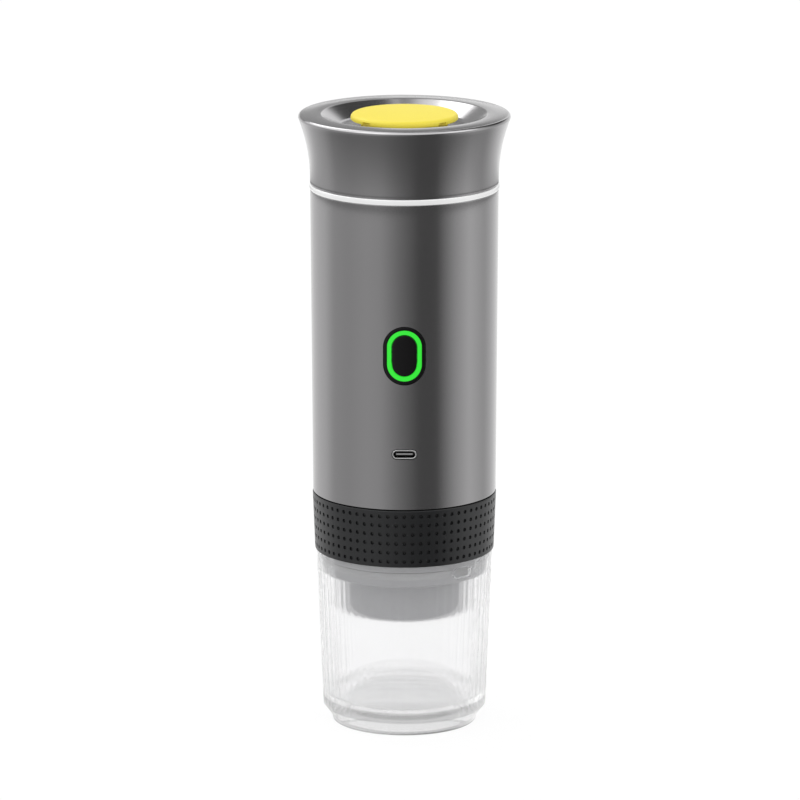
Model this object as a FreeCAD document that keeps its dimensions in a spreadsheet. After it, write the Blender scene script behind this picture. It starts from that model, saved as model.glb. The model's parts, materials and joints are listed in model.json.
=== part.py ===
import FreeCAD, Part
import math
import os

import Sketcher

# Portable capsule coffee maker, in millimetres.
# The origin is the centre of the cup's foot, +Z is up and the button faces -Y.
# Every piece is drawn about its own seat and lifted there by its Placement.

DRIVING_SIZES = (
    # Heights of the stack
    ("cup_height", "68.2", "foot to the joint with the grip ring"),
    ("grip_height", "22.4", "visible height of the grip ring"),
    ("joint_gap", "0.3", "shadow line between grip ring and body"),
    ("shell_height", "118.0", "grey body"),
    ("trim_height", "2.1", "bright ring under the lid"),
    ("lid_height", "26.7", "flared lid"),
    # Radii of the outline
    ("body_radius", "35.1", "grey body at its lower edge"),
    ("body_flare", "0.8", "how much wider the body is at its top"),
    ("grip_proud", "0.2", "grip ring outside the body"),
    ("grip_taper", "0.9", "grip ring narrows this much downwards"),
    ("cup_step", "0.55", "cup stands inside the grip ring"),
    ("cup_taper", "2.5", "cup narrows this much down to its shoulder"),
    ("foot_step", "3.55", "foot stands inside the shoulder"),
    ("trim_proud", "0.25", "bright ring outside the body"),
    ("rim_overhang", "4.5", "lid rim outside the body"),
    # Edges
    ("edge_break", "0.4", "broken edges of moulded parts"),
    ("lead_in", "0.6", "chamfer where pieces are pushed or screwed together"),
    # Cup
    ("cup_wall", "1.6", "wall"),
    ("cup_floor", "10.3", "foot to the inner floor"),
    ("cup_floor_thickness", "3.5", "floor"),
    ("cup_corner", "2.0", "chamfer between wall and floor"),
    ("cup_shoulder_height", "6.3", "foot to the shoulder"),
    ("cup_foot_height", "1.7", "straight part of the foot"),
    ("cup_foot_width", "3.0", "ring that the cup stands on"),
    ("foot_chamfer", "1.0", "inner edge of the recess under the cup"),
    ("cup_plain_band", "6.6", "smooth band above the flutes"),
    ("flute_count", "60", "flutes round the cup"),
    ("flute_radius", "2.6", "cross-section of a flute"),
    ("flute_depth", "0.45", "depth of a flute"),
    ("flute_run_out", "0.8", "flutes end this far below the shoulder"),
    ("slot_width", "9.0", "vent slot"),
    ("slot_height", "3.4", "vent slot"),
    ("slot_drop", "4.2", "vent slot below the cup's edge"),
    ("slot_turn", "41.2", "vent slot from the front, in degrees"),
    # Brew unit
    ("grip_thickness", "1.8", "rubber of the grip ring"),
    ("collar_wall", "1.7", "sleeve under the grip ring"),
    ("collar_foot", "1.0", "flange that the grip ring stands on"),
    ("sleeve_depth", "8.8", "sleeve inside the cup"),
    ("sleeve_clearance", "0.4", "sleeve to cup"),
    ("ledge_thickness", "1.0", "ledge that carries the capsule holder"),
    ("ledge_gap", "0.5", "ledge to the capsule holder"),
    ("cup_ring_height", "2.6", "silicone ring that grips the cup"),
    ("cup_ring_depth", "1.1", "groove of that ring"),
    ("gasket_height", "0.6", "ring between brew unit and body"),
    ("holder_drop", "24.3", "joint to the bottom of the capsule holder"),
    ("holder_wall", "1.8", "capsule holder"),
    ("holder_floor", "2.0", "capsule holder"),
    ("holder_flange", "2.0", "capsule holder"),
    ("holder_round", "2.0", "outer corner of the capsule holder"),
    ("holder_chamfer", "0.8", "inner corner of the capsule holder"),
    ("plate_thickness", "1.5", "studded plate"),
    ("seat_width", "3.2", "raised ring under the capsule's flange"),
    ("stud_height", "1.0", "studs and seat ring of that plate"),
    ("stud_radius", "1.2", "foot of a stud"),
    ("stud_tip", "0.35", "point of a stud"),
    ("stud_pitch", "4.6", "one ring of studs to the next"),
    ("drain_radius", "0.6", "drain holes between the studs"),
    ("drain_count", "8", "drain holes between the studs"),
    ("spout_drop", "2.4", "spout below the holder"),
    ("spout_bore", "1.6", "radius of the spout's bore"),
    ("spout_wall", "1.4", "spout"),
    ("spout_flange", "2.4", "width of the spout's collar"),
    # Capsule space
    ("capsule_mouth", "15.5", "radius of the cage at the capsule's flange"),
    ("capsule_top", "13.1", "radius of the cage at the capsule's top"),
    ("capsule_height", "29.0", "capsule on its flange"),
    ("capsule_flange", "0.8", "flange of the capsule"),
    ("cage_wall", "2.1", "cage"),
    ("cage_rim", "6.4", "width of the cage's foot rim"),
    ("cage_flange", "2.0", "thickness of the cage's rims"),
    ("cage_collar", "0.8", "collar at the cage's top"),
    ("clamp_lip", "1.5", "clamp ring under the cage's collar"),
    ("clamp_width", "5.4", "clamp ring outside the cage's wall"),
    ("cage_screw_inset", "3.0", "clamp's screws outside the cage's wall"),
    ("cage_seal_height", "1.2", "ring on the capsule's flange"),
    ("cage_seal_width", "3.0", "ring on the capsule's flange"),
    ("needle_lip", "1.0", "ceiling of the cage under the needle plate"),
    ("needle_ledge", "1.2", "width of that lip"),
    ("needle_plate_inset", "0.4", "needle plate inside the capsule's top"),
    ("needle_plate_thickness", "1.5", "steel plate"),
    ("needle_length", "6.0", "piercing needles"),
    ("needle_radius", "1.1", "root of a needle"),
    ("needle_point", "0.15", "tip of a needle"),
    ("needle_taper", "3.3", "pointed part of a needle"),
    ("needle_circle", "6.0", "needles round the axis"),
    ("water_hole_circle", "3.0", "water holes round the axis"),
    ("water_hole_radius", "0.6", "water holes of the needle plate"),
    ("head_gasket_height", "0.8", "ring between cage and brew head"),
    ("head_flange", "5.5", "lower rim of the brew head"),
    ("barrel_wall", "1.5", "brew head outside its water channel"),
    ("chamber_height", "1.6", "water chamber over the needles"),
    ("chamber_inset", "2.6", "water chamber inside the capsule's top"),
    ("gallery_radius", "0.7", "water channels of the brew head"),
    # Body and frame
    ("shell_wall", "1.2", "body"),
    ("shell_lip", "1.0", "inward lip at the lower edge"),
    ("lip_gap", "0.4", "body's lip to the spigot"),
    ("frame_thickness", "2.5", "bottom frame"),
    ("spigot_wall", "2.0", "threaded spigot"),
    ("spigot_length", "18.9", "threaded spigot"),
    ("rib_thickness", "1.6", "ribs between spigot and brew head"),
    ("rib_count", "6", "ribs between spigot and brew head"),
    ("clamp_height", "2.0", "brew head flange under the inner frame"),
    ("head_flange_margin", "2.2", "brew head flange outside its screws"),
    ("deck_thickness", "1.5", "floor of the inner frame"),
    ("bridge_thickness", "2.0", "top plate of the inner frame"),
    ("post_width", "3.0", "posts of the inner frame"),
    ("post_root", "0.5", "posts rooted in both plates"),
    ("pedestal_wall", "2.5", "ring that the motor stands on"),
    ("boss_wall", "1.5", "screw bosses"),
    ("boss_height", "5.0", "screw bosses"),
    ("cradle_wall", "1.0", "cups that hold the ends of the cells"),
    ("cradle_height", "6.0", "cups that hold the ends of the cells"),
    ("screw_hole", "1.25", "radius of a screw's hole"),
    ("screw_play", "0.1", "screw to its hole"),
    ("screw_head_height", "1.5", "pan head"),
    ("screw_head_margin", "1.2", "pan head outside its shank"),
    ("screw_point", "0.8", "tapered end of a screw"),
    # Cells, pump and board
    ("cell_radius", "9.2", "battery cell"),
    ("cell_height", "65.2", "battery cell"),
    ("cell_shoulder", "0.9", "crimped edge under a cell's cap"),
    ("terminal_radius", "3.2", "cap of a cell"),
    ("terminal_height", "0.6", "cap of a cell"),
    ("tab_thickness", "0.2", "nickel rings"),
    ("tab_width", "4.6", "nickel rings"),
    ("tab_gap", "0.3", "nickel rings to hose, bosses and cradles"),
    ("cell_wall_gap", "1.5", "cell to body"),
    ("motor_radius", "9.7", "motor case"),
    ("motor_length", "34.0", "motor case"),
    ("motor_wall", "1.4", "motor case"),
    ("motor_end", "1.5", "end plates of the motor"),
    ("air_gap", "1.0", "armature to motor case"),
    ("armature_rise", "4.0", "armature above the motor's foot"),
    ("commutator_radius", "3.5", "commutator"),
    ("commutator_height", "5.0", "commutator"),
    ("commutator_gap", "3.0", "commutator to the motor's upper end"),
    ("shaft_radius", "1.5", "motor shaft"),
    ("shaft_play", "0.05", "running fit of the shaft"),
    ("shaft_reach", "5.2", "shaft above the motor"),
    ("pump_height", "18.0", "pump head"),
    ("pump_gap", "5.6", "pump head under the top plate"),
    ("pump_margin", "0.5", "pump head outside the motor"),
    ("pump_bevel", "2.0", "upper edge of the pump head"),
    ("eccentric_throw", "1.0", "eccentric on the shaft"),
    ("eccentric_radius", "3.5", "eccentric on the shaft"),
    ("eccentric_rise", "1.6", "eccentric above the motor"),
    ("eccentric_height", "3.0", "eccentric on the shaft"),
    ("well_play", "1.7", "eccentric to the pump head"),
    ("well_height", "6.5", "hollow of the pump head over the eccentric"),
    ("delivery_rise", "6.0", "delivery port above the pump's foot"),
    ("delivery_height", "6.0", "delivery port"),
    ("delivery_wall", "0.6", "delivery port outside its hose"),
    ("hose_gap", "0.4", "delivery hose to the pump head"),
    ("hose_radius", "2.2", "delivery hose"),
    ("hose_bore", "1.2", "delivery hose"),
    ("feed_radius", "3.4", "feed hose"),
    ("feed_bore", "2.0", "feed hose"),
    ("nipple_length", "3.0", "nipples inside the hoses"),
    ("nipple_play", "0.05", "nipple to its hose"),
    ("board_inset", "8.1", "back of the board inside the body's outline"),
    ("board_width", "20.0", "control board"),
    ("board_thickness", "1.6", "control board"),
    ("board_margin", "4.0", "board ends inside the frame's plates"),
    ("board_edge", "0.5", "posts inside the edge of the board"),
    ("board_screw_edge", "3.0", "board screws to the board's end and the button"),
    ("board_screw_head", "1.4", "head of a board screw"),
    ("board_screw_height", "1.0", "head of a board screw"),
    ("coil_side", "6.0", "coil on the board"),
    ("coil_height", "2.4", "coil on the board"),
    ("chip_side", "7.0", "chip on the board"),
    ("chip_height", "1.0", "chip on the board"),
    ("chip_gap", "1.5", "one part on the board to the next"),
    # Tank
    ("tank_jacket", "5.7", "body wall to tank wall"),
    ("tank_wall", "0.7", "tank"),
    ("tank_round", "4.0", "outer corner of the tank"),
    ("tank_lip", "2.2", "rolled lip on the neck"),
    ("heater_thickness", "2.5", "ring heater"),
    ("heater_inset", "3.0", "heater inside the tank's wall"),
    ("heater_gap", "1.0", "heater to the tank outlet"),
    ("sensor_inset", "4.8", "temperature sensor inside the heater's edge"),
    ("sensor_length", "8.0", "temperature sensor"),
    ("sensor_width", "4.0", "temperature sensor"),
    ("sensor_gap", "0.4", "temperature sensor to the top plate"),
    ("outlet_bore", "1.5", "tank outlet"),
    ("outlet_wall", "0.7", "tank outlet inside the tank"),
    ("outlet_flange", "2.6", "tank outlet outside the feed hose"),
    ("outlet_thickness", "2.0", "flange of the tank outlet"),
    ("filter_radius", "6.0", "strainer"),
    ("filter_dome", "4.0", "raised part of the strainer"),
    ("filter_rise", "1.2", "height of the strainer's dome"),
    ("filter_sheet", "0.6", "sheet of the strainer"),
    ("filter_hole", "0.5", "holes of the strainer"),
    ("filter_count", "6", "holes of the strainer"),
    ("neck_wall", "3.1", "threaded neck"),
    ("neck_rise", "10.5", "neck inside the lid"),
    ("neck_flange", "1.5", "flange under the bright ring"),
    ("neck_web", "1.0", "web between neck and skirt"),
    ("skirt_wall", "1.6", "neck inside the body"),
    ("skirt_height", "5.0", "neck inside the body"),
    ("skirt_gap", "0.5", "skirt to the foam sleeve"),
    # Lid and filler plug
    ("lid_wall", "1.4", "lid"),
    ("lip_height", "1.6", "straight edge of the rim"),
    ("lip_round", "1.8", "rounding of the rim"),
    ("lip_inset", "1.3", "width of that rounding"),
    ("rim_width", "8.7", "flat ring and rounding of the rim"),
    ("dish_depth", "5.0", "dish in the lid"),
    ("dish_slope", "7.2", "width of the dish's sloping side"),
    ("boss_rim", "1.8", "wall round the vent seal"),
    ("liner_wall", "1.5", "threaded liner"),
    ("liner_plate", "2.5", "top of the liner"),
    ("lid_seal_height", "1.3", "flat ring on the tank mouth"),
    ("plug_radius", "20.47", "filler plug"),
    ("plug_stand", "0.1", "filler plug above the rim"),
    ("plug_head", "3.5", "head of the filler plug"),
    ("plug_round", "1.3", "upper edge of the filler plug"),
    ("plug_step", "4.5", "shoulder of the plug round its stem"),
    ("plug_stem", "12.0", "radius of the plug's stem"),
    ("stem_wall", "2.5", "wall of the hollow stem"),
    ("notch_radius", "1.3", "finger notches of the plug"),
    ("notch_count", "4", "finger notches of the plug"),
    ("vent_seal_width", "1.7", "ring round the stem"),
    ("vent_seal_height", "1.8", "ring round the stem"),
    # Button and port
    ("button_drop", "0.75", "black frame under the frame's top plate"),
    ("bezel_width", "15.7", "black frame"),
    ("bezel_height", "23.5", "black frame"),
    ("ring_width", "13.2", "light ring, outside"),
    ("ring_height", "20.4", "light ring, outside"),
    ("ring_band", "1.65", "light ring"),
    ("button_proud", "0.15", "black frame outside the body"),
    ("button_step", "0.05", "light ring and button, each inside the next"),
    ("button_travel", "0.5", "travel of the button"),
    ("switch_side", "6.0", "switch behind the button"),
    ("switch_depth", "2.5", "switch behind the button"),
    ("plunger_radius", "1.6", "plunger of the switch"),
    ("plunger_rise", "0.2", "plunger above the switch when pressed"),
    ("switch_gap", "0.1", "plunger to the pressed button"),
    ("port_height", "21.8", "port above the body's lower edge"),
    ("port_width", "8.34", "opening of the port"),
    ("port_tall", "2.56", "opening of the port"),
    ("port_wall", "0.45", "metal of the port"),
    ("port_recess", "0.15", "port behind the body's surface"),
    ("port_margin", "0.25", "gap round the port and the black frame"),
    ("tongue_width", "6.7", "tongue of the port"),
    ("tongue_thickness", "0.7", "tongue of the port"),
    ("tongue_recess", "1.0", "tongue behind the port's edge"),
    ("tongue_root", "1.5", "root of the tongue"),
    # Clearances
    ("slide_clearance", "0.3", "between pieces that move apart"),
    ("seat_clearance", "0.2", "between pieces that stay together"),
)

HOSE_ANGLE = 30.0
POST_ANGLES = (30.0, 150.0)
CELL_ANGLES = (90.0, 210.0, 330.0)
SCREW_ANGLE = 30.0
NOTCH_ANGLE = 45.0
ROUND = 360.0
THREE_FOLD = 3
OVERCUT = 1.0

DOCUMENT = FreeCAD.newDocument("capsule_coffee_maker")


class Length:
    """A size that carries its number and the formula that gives it."""

    def __init__(self, value, formula):
        self.value = float(value)
        self.formula = formula

    @staticmethod
    def of(other):
        """Return other as a Length, also where it is a plain number."""
        if isinstance(other, Length):
            return other
        return Length(other, f"{float(other):.6f}")

    def _join(self, sign, other, value):
        return Length(value, f"({self.formula} {sign} {Length.of(other).formula})")

    def __add__(self, other):
        return self._join("+", other, self.value + Length.of(other).value)

    def __sub__(self, other):
        return self._join("-", other, self.value - Length.of(other).value)

    def __mul__(self, other):
        return self._join("*", other, self.value * Length.of(other).value)

    def __truediv__(self, other):
        return self._join("/", other, self.value / Length.of(other).value)

    def __radd__(self, other):
        return Length.of(other) + self

    def __rsub__(self, other):
        return Length.of(other) - self

    def __rmul__(self, other):
        return Length.of(other) * self

    def __neg__(self):
        return Length.of(0.0) - self


class DrivingSheet:
    """The spreadsheet of driving sizes, read by alias."""

    def __init__(self, document, rows):
        self.sheet = document.addObject("Spreadsheet::Sheet", "Sizes")
        for row, (alias, number, note) in enumerate(rows, start=1):
            self.sheet.set(f"A{row}", note)
            self.sheet.set(f"B{row}", number)
            self.sheet.setAlias(f"B{row}", alias)
        document.recompute()

    def __getattr__(self, alias):
        return Length(self.sheet.get(alias), f"Sizes.{alias}")


class Derived:
    """Levels and radii that several pieces share, worked out from the sheet."""

    def __init__(self, document):
        self.holder = document.addObject("App::VarSet", "Shared")
        self.lengths = {}

    def keep(self, name, length):
        """Store a shared length under a name, and read it back by that name."""
        self.holder.addProperty("App::PropertyFloat", name, "Shared", name.replace("_", " "))
        setattr(self.holder, name, length.value)
        self.holder.setExpression(name, length.formula)
        self.lengths[name] = Length(length.value, f"Shared.{name}")

    def __getattr__(self, name):
        return self.lengths[name]


size = DrivingSheet(DOCUMENT, DRIVING_SIZES)
shared = Derived(DOCUMENT)


def work_out_outline():
    """Levels of the outline from the foot up, and its radii."""
    keep = shared.keep
    keep("shell_base", size.cup_height + size.grip_height + size.joint_gap)
    keep("shell_top", shared.shell_base + size.shell_height)
    keep("lid_base", shared.shell_top + size.trim_height)
    keep("shell_top_radius", size.body_radius + size.body_flare)
    keep("grip_top_radius", size.body_radius + size.grip_proud)
    keep("grip_base_radius", shared.grip_top_radius - size.grip_taper)
    keep("cup_top_radius", shared.grip_base_radius - size.cup_step)
    keep("shoulder_radius", shared.cup_top_radius - size.cup_taper)
    keep("foot_radius", shared.shoulder_radius - size.foot_step)
    keep("cup_slope", size.cup_taper / (size.cup_height - size.cup_shoulder_height))
    keep("rim_radius", shared.shell_top_radius + size.rim_overhang)


def work_out_brew_unit():
    """Radii of the screwed joint, the sleeve in the cup and the capsule space."""
    keep = shared.keep
    keep("collar_radius", shared.grip_base_radius - size.grip_thickness)
    keep("collar_bore", shared.collar_radius - size.collar_wall)
    keep("spigot_radius", shared.collar_bore - size.slide_clearance)
    keep("spigot_bore", shared.spigot_radius - size.spigot_wall)
    keep("lip_bore", shared.spigot_radius + size.lip_gap)
    cup_bore = shared.cup_top_radius - size.cup_wall - shared.cup_slope * size.sleeve_depth
    keep("sleeve_radius", cup_bore - size.sleeve_clearance)
    keep("ring_groove_radius", shared.sleeve_radius - size.cup_ring_depth)
    keep("ring_groove_level", size.cup_height - (size.sleeve_depth + size.cup_ring_height) / 2.0)
    keep("sleeve_bore", shared.ring_groove_radius - size.collar_wall)
    keep("cage_rim_radius", size.capsule_mouth + size.cage_rim)
    keep("holder_bore", shared.cage_rim_radius + size.slide_clearance * 2.0)
    keep("holder_radius", shared.holder_bore + size.holder_wall)
    keep("holder_base", size.cup_height - size.holder_drop)
    keep("holder_floor_top", shared.holder_base + size.holder_floor)
    keep("holder_ledge", size.cup_height - size.sleeve_depth + size.ledge_thickness)
    keep("capsule_seat", shared.holder_floor_top + size.plate_thickness + size.stud_height)
    keep("cage_base", shared.capsule_seat + size.capsule_flange + size.cage_seal_height)
    keep("cage_ceiling", shared.capsule_seat + size.capsule_height + size.slide_clearance * 2.0)
    keep("needle_plate_base", shared.cage_ceiling + size.needle_lip)
    keep("needle_plate_bore", size.capsule_top - size.needle_plate_inset)
    keep("cage_top", shared.needle_plate_base + size.needle_plate_thickness)
    keep("cage_top_radius", size.capsule_top + size.cage_wall)
    keep("clamp_radius", shared.cage_top_radius + size.clamp_width)
    keep("cage_screw_circle", shared.cage_top_radius + size.cage_screw_inset)


def work_out_frame():
    """Levels and radii of the frame, cells, motor and pump, from the body's lower edge up."""
    keep = shared.keep
    keep("frame_base", shared.shell_base + size.shell_lip)
    keep("frame_top", shared.frame_base + size.frame_thickness)
    keep("frame_radius", size.body_radius - size.shell_wall - size.seat_clearance)
    keep("pump_radius", size.motor_radius + size.pump_margin)
    keep("hose_circle", shared.pump_radius + size.hose_gap + size.hose_radius)
    keep("barrel_radius", shared.hose_circle + size.hose_radius + size.barrel_wall)
    keep("frame_opening", shared.barrel_radius + size.seat_clearance)
    keep("frame_screw_circle", (shared.frame_opening + shared.spigot_bore) / 2.0)
    keep("boss_radius", size.screw_hole + size.boss_wall)
    keep("head_flange_radius", shared.frame_screw_circle + size.screw_hole + size.head_flange_margin)
    keep("lower_tab_radius", shared.frame_screw_circle - shared.boss_radius - size.tab_gap * 2.0)
    keep("deck_base", shared.frame_top + size.clamp_height)
    keep("deck_top", shared.deck_base + size.deck_thickness)
    keep("cell_base", shared.deck_top + size.tab_thickness)
    keep("cell_circle", size.body_radius - size.shell_wall - size.cell_wall_gap - size.cell_radius)
    keep("bridge_base", shared.cell_base + size.cell_height + size.tab_thickness)
    keep("bridge_top", shared.bridge_base + size.bridge_thickness)
    keep("pump_top", shared.bridge_base - size.pump_gap)
    keep("pump_base", shared.pump_top - size.pump_height)
    keep("motor_base", shared.pump_base - size.motor_length)
    keep("delivery_base", shared.pump_base + size.delivery_rise)


def work_out_upper_part():
    """Tank, neck, lid, and the button and port measured forward from the axis."""
    keep = shared.keep
    keep("tank_base", shared.bridge_top + size.heater_thickness)
    keep("tank_radius", size.body_radius - size.shell_wall - size.tank_jacket)
    keep("heater_radius", shared.tank_radius - size.heater_inset)
    keep("sensor_start", shared.heater_radius - size.sensor_inset - size.sensor_length)
    keep("outlet_hole", size.outlet_bore + size.outlet_wall)
    keep("outlet_flange_radius", size.feed_radius + size.outlet_flange)
    keep("heater_bore", shared.outlet_flange_radius + size.heater_gap)
    keep("neck_bore", shared.tank_radius + size.slide_clearance)
    keep("neck_radius", shared.neck_bore + size.neck_wall)
    keep("neck_top", shared.lid_base + size.neck_rise)
    keep("neck_flange_radius", shared.shell_top_radius - size.shell_wall / 2.0)
    keep("tank_top", shared.neck_top + size.tank_wall)
    keep("liner_bore", shared.neck_radius + size.slide_clearance)
    keep("liner_radius", shared.liner_bore + size.liner_wall)
    keep("liner_top", shared.tank_top + size.lid_seal_height + size.liner_plate)
    keep("lid_floor", shared.lid_base + size.lid_height - size.dish_depth)
    keep("plug_hole", size.plug_stem + size.slide_clearance)
    keep("board_back", size.body_radius - size.board_inset)
    keep("board_front", shared.board_back + size.board_thickness)
    keep("button_level", shared.bridge_base - size.button_drop - size.bezel_height / 2.0)
    keep("port_level", shared.shell_base + size.port_height)
    shell_slope = size.body_flare / size.shell_height
    keep("front_at_button", size.body_radius + shell_slope * (shared.button_level - shared.shell_base))
    keep("front_at_port", size.body_radius + shell_slope * size.port_height)


def plane(body, role):
    """Return one of a body's own origin planes or axes."""
    for item in body.Origin.OriginFeatures:
        if item.Role == role:
            return item
    raise ValueError(role)


def bind(item, path, length):
    """Tie a property or constraint to the formula of a length."""
    if isinstance(length, Length):
        item.setExpression(path, length.formula)


def polar(radius, angle):
    """Return the x and y of a place on a circle, in degrees from +X."""
    radians = math.radians(angle)
    return radius * math.cos(radians), radius * math.sin(radians)


def new_body(label, level=0.0, place=(0.0, 0.0)):
    """Start a sub-part whose own origin stands at its level, on the axis or at a place."""
    body = DOCUMENT.addObject("PartDesign::Body", label)
    body.Label = label
    spot = (place[0], place[1], level)
    body.Placement = FreeCAD.Placement(vector(spot), FreeCAD.Rotation())
    for letter, length in zip("xyz", spot):
        bind(body, f"Placement.Base.{letter}", length)
    return body


def vector(lengths):
    """Return three lengths as a vector."""
    return FreeCAD.Vector(*(Length.of(length).value for length in lengths))


def new_sketch(body, name, role="XZ_Plane", spot=(0.0, 0.0, 0.0), axis=(0, 0, 1), angle=0.0):
    """Attach a sketch to an origin plane, moved to a spot of that plane's frame and turned."""
    sketch = body.newObject("Sketcher::SketchObject", name)
    sketch.AttachmentSupport = (plane(body, role), [""])
    sketch.MapMode = "FlatFace"
    rotation = FreeCAD.Rotation(FreeCAD.Vector(*axis), Length.of(angle).value)
    sketch.AttachmentOffset = FreeCAD.Placement(vector(spot), rotation)
    for letter, length in zip("xyz", spot):
        bind(sketch, f"AttachmentOffset.Base.{letter}", length)
    bind(sketch, "AttachmentOffset.Rotation.Angle", angle)
    return sketch


def level_sketch(body, name, level):
    """A flat sketch at a height of its body."""
    return new_sketch(body, name, "XY_Plane", (0.0, 0.0, level))


def arc_between(start, end, radius, side):
    """Return an arc from start to end; side 1 bends to the right of the way there."""
    chord = end - start
    middle = (start + end) * 0.5
    right = FreeCAD.Vector(chord.y, -chord.x, 0).normalize()
    rise = math.sqrt(max(radius ** 2 - (chord.Length / 2) ** 2, 0.0))
    centre = middle - right * side * rise
    first = math.atan2(start.y - centre.y, start.x - centre.x)
    last = math.atan2(end.y - centre.y, end.x - centre.x)
    circle = Part.Circle(centre, FreeCAD.Vector(0, 0, 1), radius)
    if side > 0:
        return Part.ArcOfCircle(circle, first, last)
    return Part.ArcOfCircle(circle, last, first)


def draw_outline(sketch, points):
    """Add a closed outline. A point is (x, y), or (x, y, radius, side) where an arc leaves it."""
    corners = [vector((point[0], point[1], 0.0)) for point in points]
    first = sketch.GeometryCount
    count = len(points)
    ends = []
    for index, point in enumerate(points):
        start = corners[index]
        end = corners[(index + 1) % count]
        if len(point) == 4:
            arc = arc_between(start, end, Length.of(point[2]).value, point[3])
            sketch.addGeometry(arc, False)
            ends.append((1, 2) if point[3] > 0 else (2, 1))
        else:
            sketch.addGeometry(Part.LineSegment(start, end), False)
            ends.append((1, 2))
    rows = []
    for index, point in enumerate(points):
        edge = first + index
        following = (index + 1) % count
        joint = Sketcher.Constraint("Coincident", edge, ends[index][1], first + following, ends[following][0])
        rows.append((joint, None))
        for kind, value in (("DistanceX", point[0]), ("DistanceY", point[1])):
            distance = Sketcher.Constraint(kind, edge, ends[index][0], Length.of(value).value)
            rows.append((distance, value))
        if len(point) == 4:
            rows.append((Sketcher.Constraint("Radius", edge, Length.of(point[2]).value), point[2]))
    constrain(sketch, rows)


def constrain(sketch, rows):
    """Add constraints and tie each to its length, where it has one."""
    start = sketch.ConstraintCount
    sketch.addConstraint([constraint for constraint, length in rows])
    for index, (constraint, length) in enumerate(rows, start=start):
        bind(sketch, f"Constraints[{index}]", length)


def draw_circle(sketch, x, y, radius):
    """Draw a circle with a driven radius and centre."""
    circle = Part.Circle(vector((x, y, 0.0)), FreeCAD.Vector(0, 0, 1), Length.of(radius).value)
    edge = sketch.addGeometry(circle, False)
    constrain(sketch, [
        (Sketcher.Constraint("DistanceX", edge, 3, Length.of(x).value), x),
        (Sketcher.Constraint("DistanceY", edge, 3, Length.of(y).value), y),
        (Sketcher.Constraint("Radius", edge, Length.of(radius).value), radius),
    ])


def draw_box(sketch, left, low, right, high):
    """Draw a rectangle between two corners."""
    draw_outline(sketch, [(left, low), (right, low), (right, high), (left, high)])


def draw_square(sketch, side, low=None):
    """Draw a square about the sketch's origin, or standing on a level."""
    half = side / 2.0
    base = -half if low is None else low
    draw_box(sketch, -half, base, half, base + side)


def draw_oval(sketch, width, height):
    """Draw an oval with two straight sides, centred on the sketch's origin."""
    upright = Length.of(height).value > Length.of(width).value
    long_side, short_side = (height, width) if upright else (width, height)
    radius = Length.of(short_side / 2.0)
    reach = Length.of((long_side - short_side) / 2.0)
    normal = FreeCAD.Vector(0, 0, 1)
    up = FreeCAD.Vector(0, 1, 0) if upright else FreeCAD.Vector(1, 0, 0)
    side = FreeCAD.Vector(1, 0, 0) if upright else FreeCAD.Vector(0, -1, 0)
    turn = 0.0 if upright else -math.pi / 2
    far = up * reach.value
    edge = side * radius.value
    sketch.addGeometry(
        [
            Part.ArcOfCircle(Part.Circle(far, normal, radius.value), turn, turn + math.pi),
            Part.LineSegment(far - edge, -far - edge),
            Part.ArcOfCircle(Part.Circle(-far, normal, radius.value), turn + math.pi, turn + 2 * math.pi),
            Part.LineSegment(edge - far, far + edge),
        ],
        False,
    )
    along, across = ("DistanceY", "DistanceX") if upright else ("DistanceX", "DistanceY")
    tangents = ((0, 2, 1, 1), (1, 2, 2, 1), (2, 2, 3, 1), (3, 2, 0, 1))
    rows = [(Sketcher.Constraint("Tangent", *ends), None) for ends in tangents]
    rows += [
        (Sketcher.Constraint("Radius", 0, radius.value), radius),
        (Sketcher.Constraint(along, 0, 3, reach.value), reach),
        (Sketcher.Constraint(along, 2, 3, -reach.value), -reach),
        (Sketcher.Constraint(across, 0, 3, 0.0), None),
        (Sketcher.Constraint(across, 2, 3, 0.0), None),
    ]
    constrain(sketch, rows)


def revolve(body, name, sketch, cut=False):
    """Turn a sketch about its own upright axis, adding or cutting."""
    kind = "PartDesign::Groove" if cut else "PartDesign::Revolution"
    feature = body.newObject(kind, name)
    feature.Profile = sketch
    feature.ReferenceAxis = (sketch, ["V_Axis"])
    feature.Angle = ROUND
    return feature


def turned(label, level, points):
    """A body turned about its axis from one closed outline of (radius, height) points."""
    body = new_body(label, level)
    sketch = new_sketch(body, f"{label}_outline")
    draw_outline(sketch, points)
    revolve(body, f"{label}_turn", sketch)
    return body


def ring(label, level, bore, radius, height):
    """A plain round ring with its bore, standing on its level."""
    return turned(label, level, [(bore, 0.0), (radius, 0.0), (radius, height), (bore, height)])


def pad(body, name, sketch, length):
    """Raise a sketch along its normal."""
    feature = body.newObject("PartDesign::Pad", name)
    feature.Profile = sketch
    feature.Length = Length.of(length).value
    bind(feature, "Length", length)
    return feature


def pocket(body, name, sketch, length, backwards=False):
    """Cut a sketch along its normal, or backwards from it."""
    feature = body.newObject("PartDesign::Pocket", name)
    feature.Profile = sketch
    feature.Length = Length.of(length).value
    feature.Reversed = not backwards
    bind(feature, "Length", length)
    return feature


def repeat_round(body, name, feature, count):
    """Repeat a feature about the body's axis."""
    pattern = body.newObject("PartDesign::PolarPattern", name)
    pattern.Originals = [feature]
    pattern.Axis = (plane(body, "Z_Axis"), [""])
    pattern.Angle = ROUND
    pattern.Occurrences = int(Length.of(count).value)
    bind(pattern, "Occurrences", count)
    body.Tip = pattern
    return pattern


def ring_of_holes(body, name, place, radius, base, depth, count):
    """Cut a ring of equal round holes, the first one at a place."""
    sketch = level_sketch(body, f"{name}_outline", base)
    draw_circle(sketch, place[0], place[1], radius)
    hole = pocket(body, f"{name}_hole", sketch, depth)
    return repeat_round(body, f"{name}_holes", hole, count)


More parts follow.
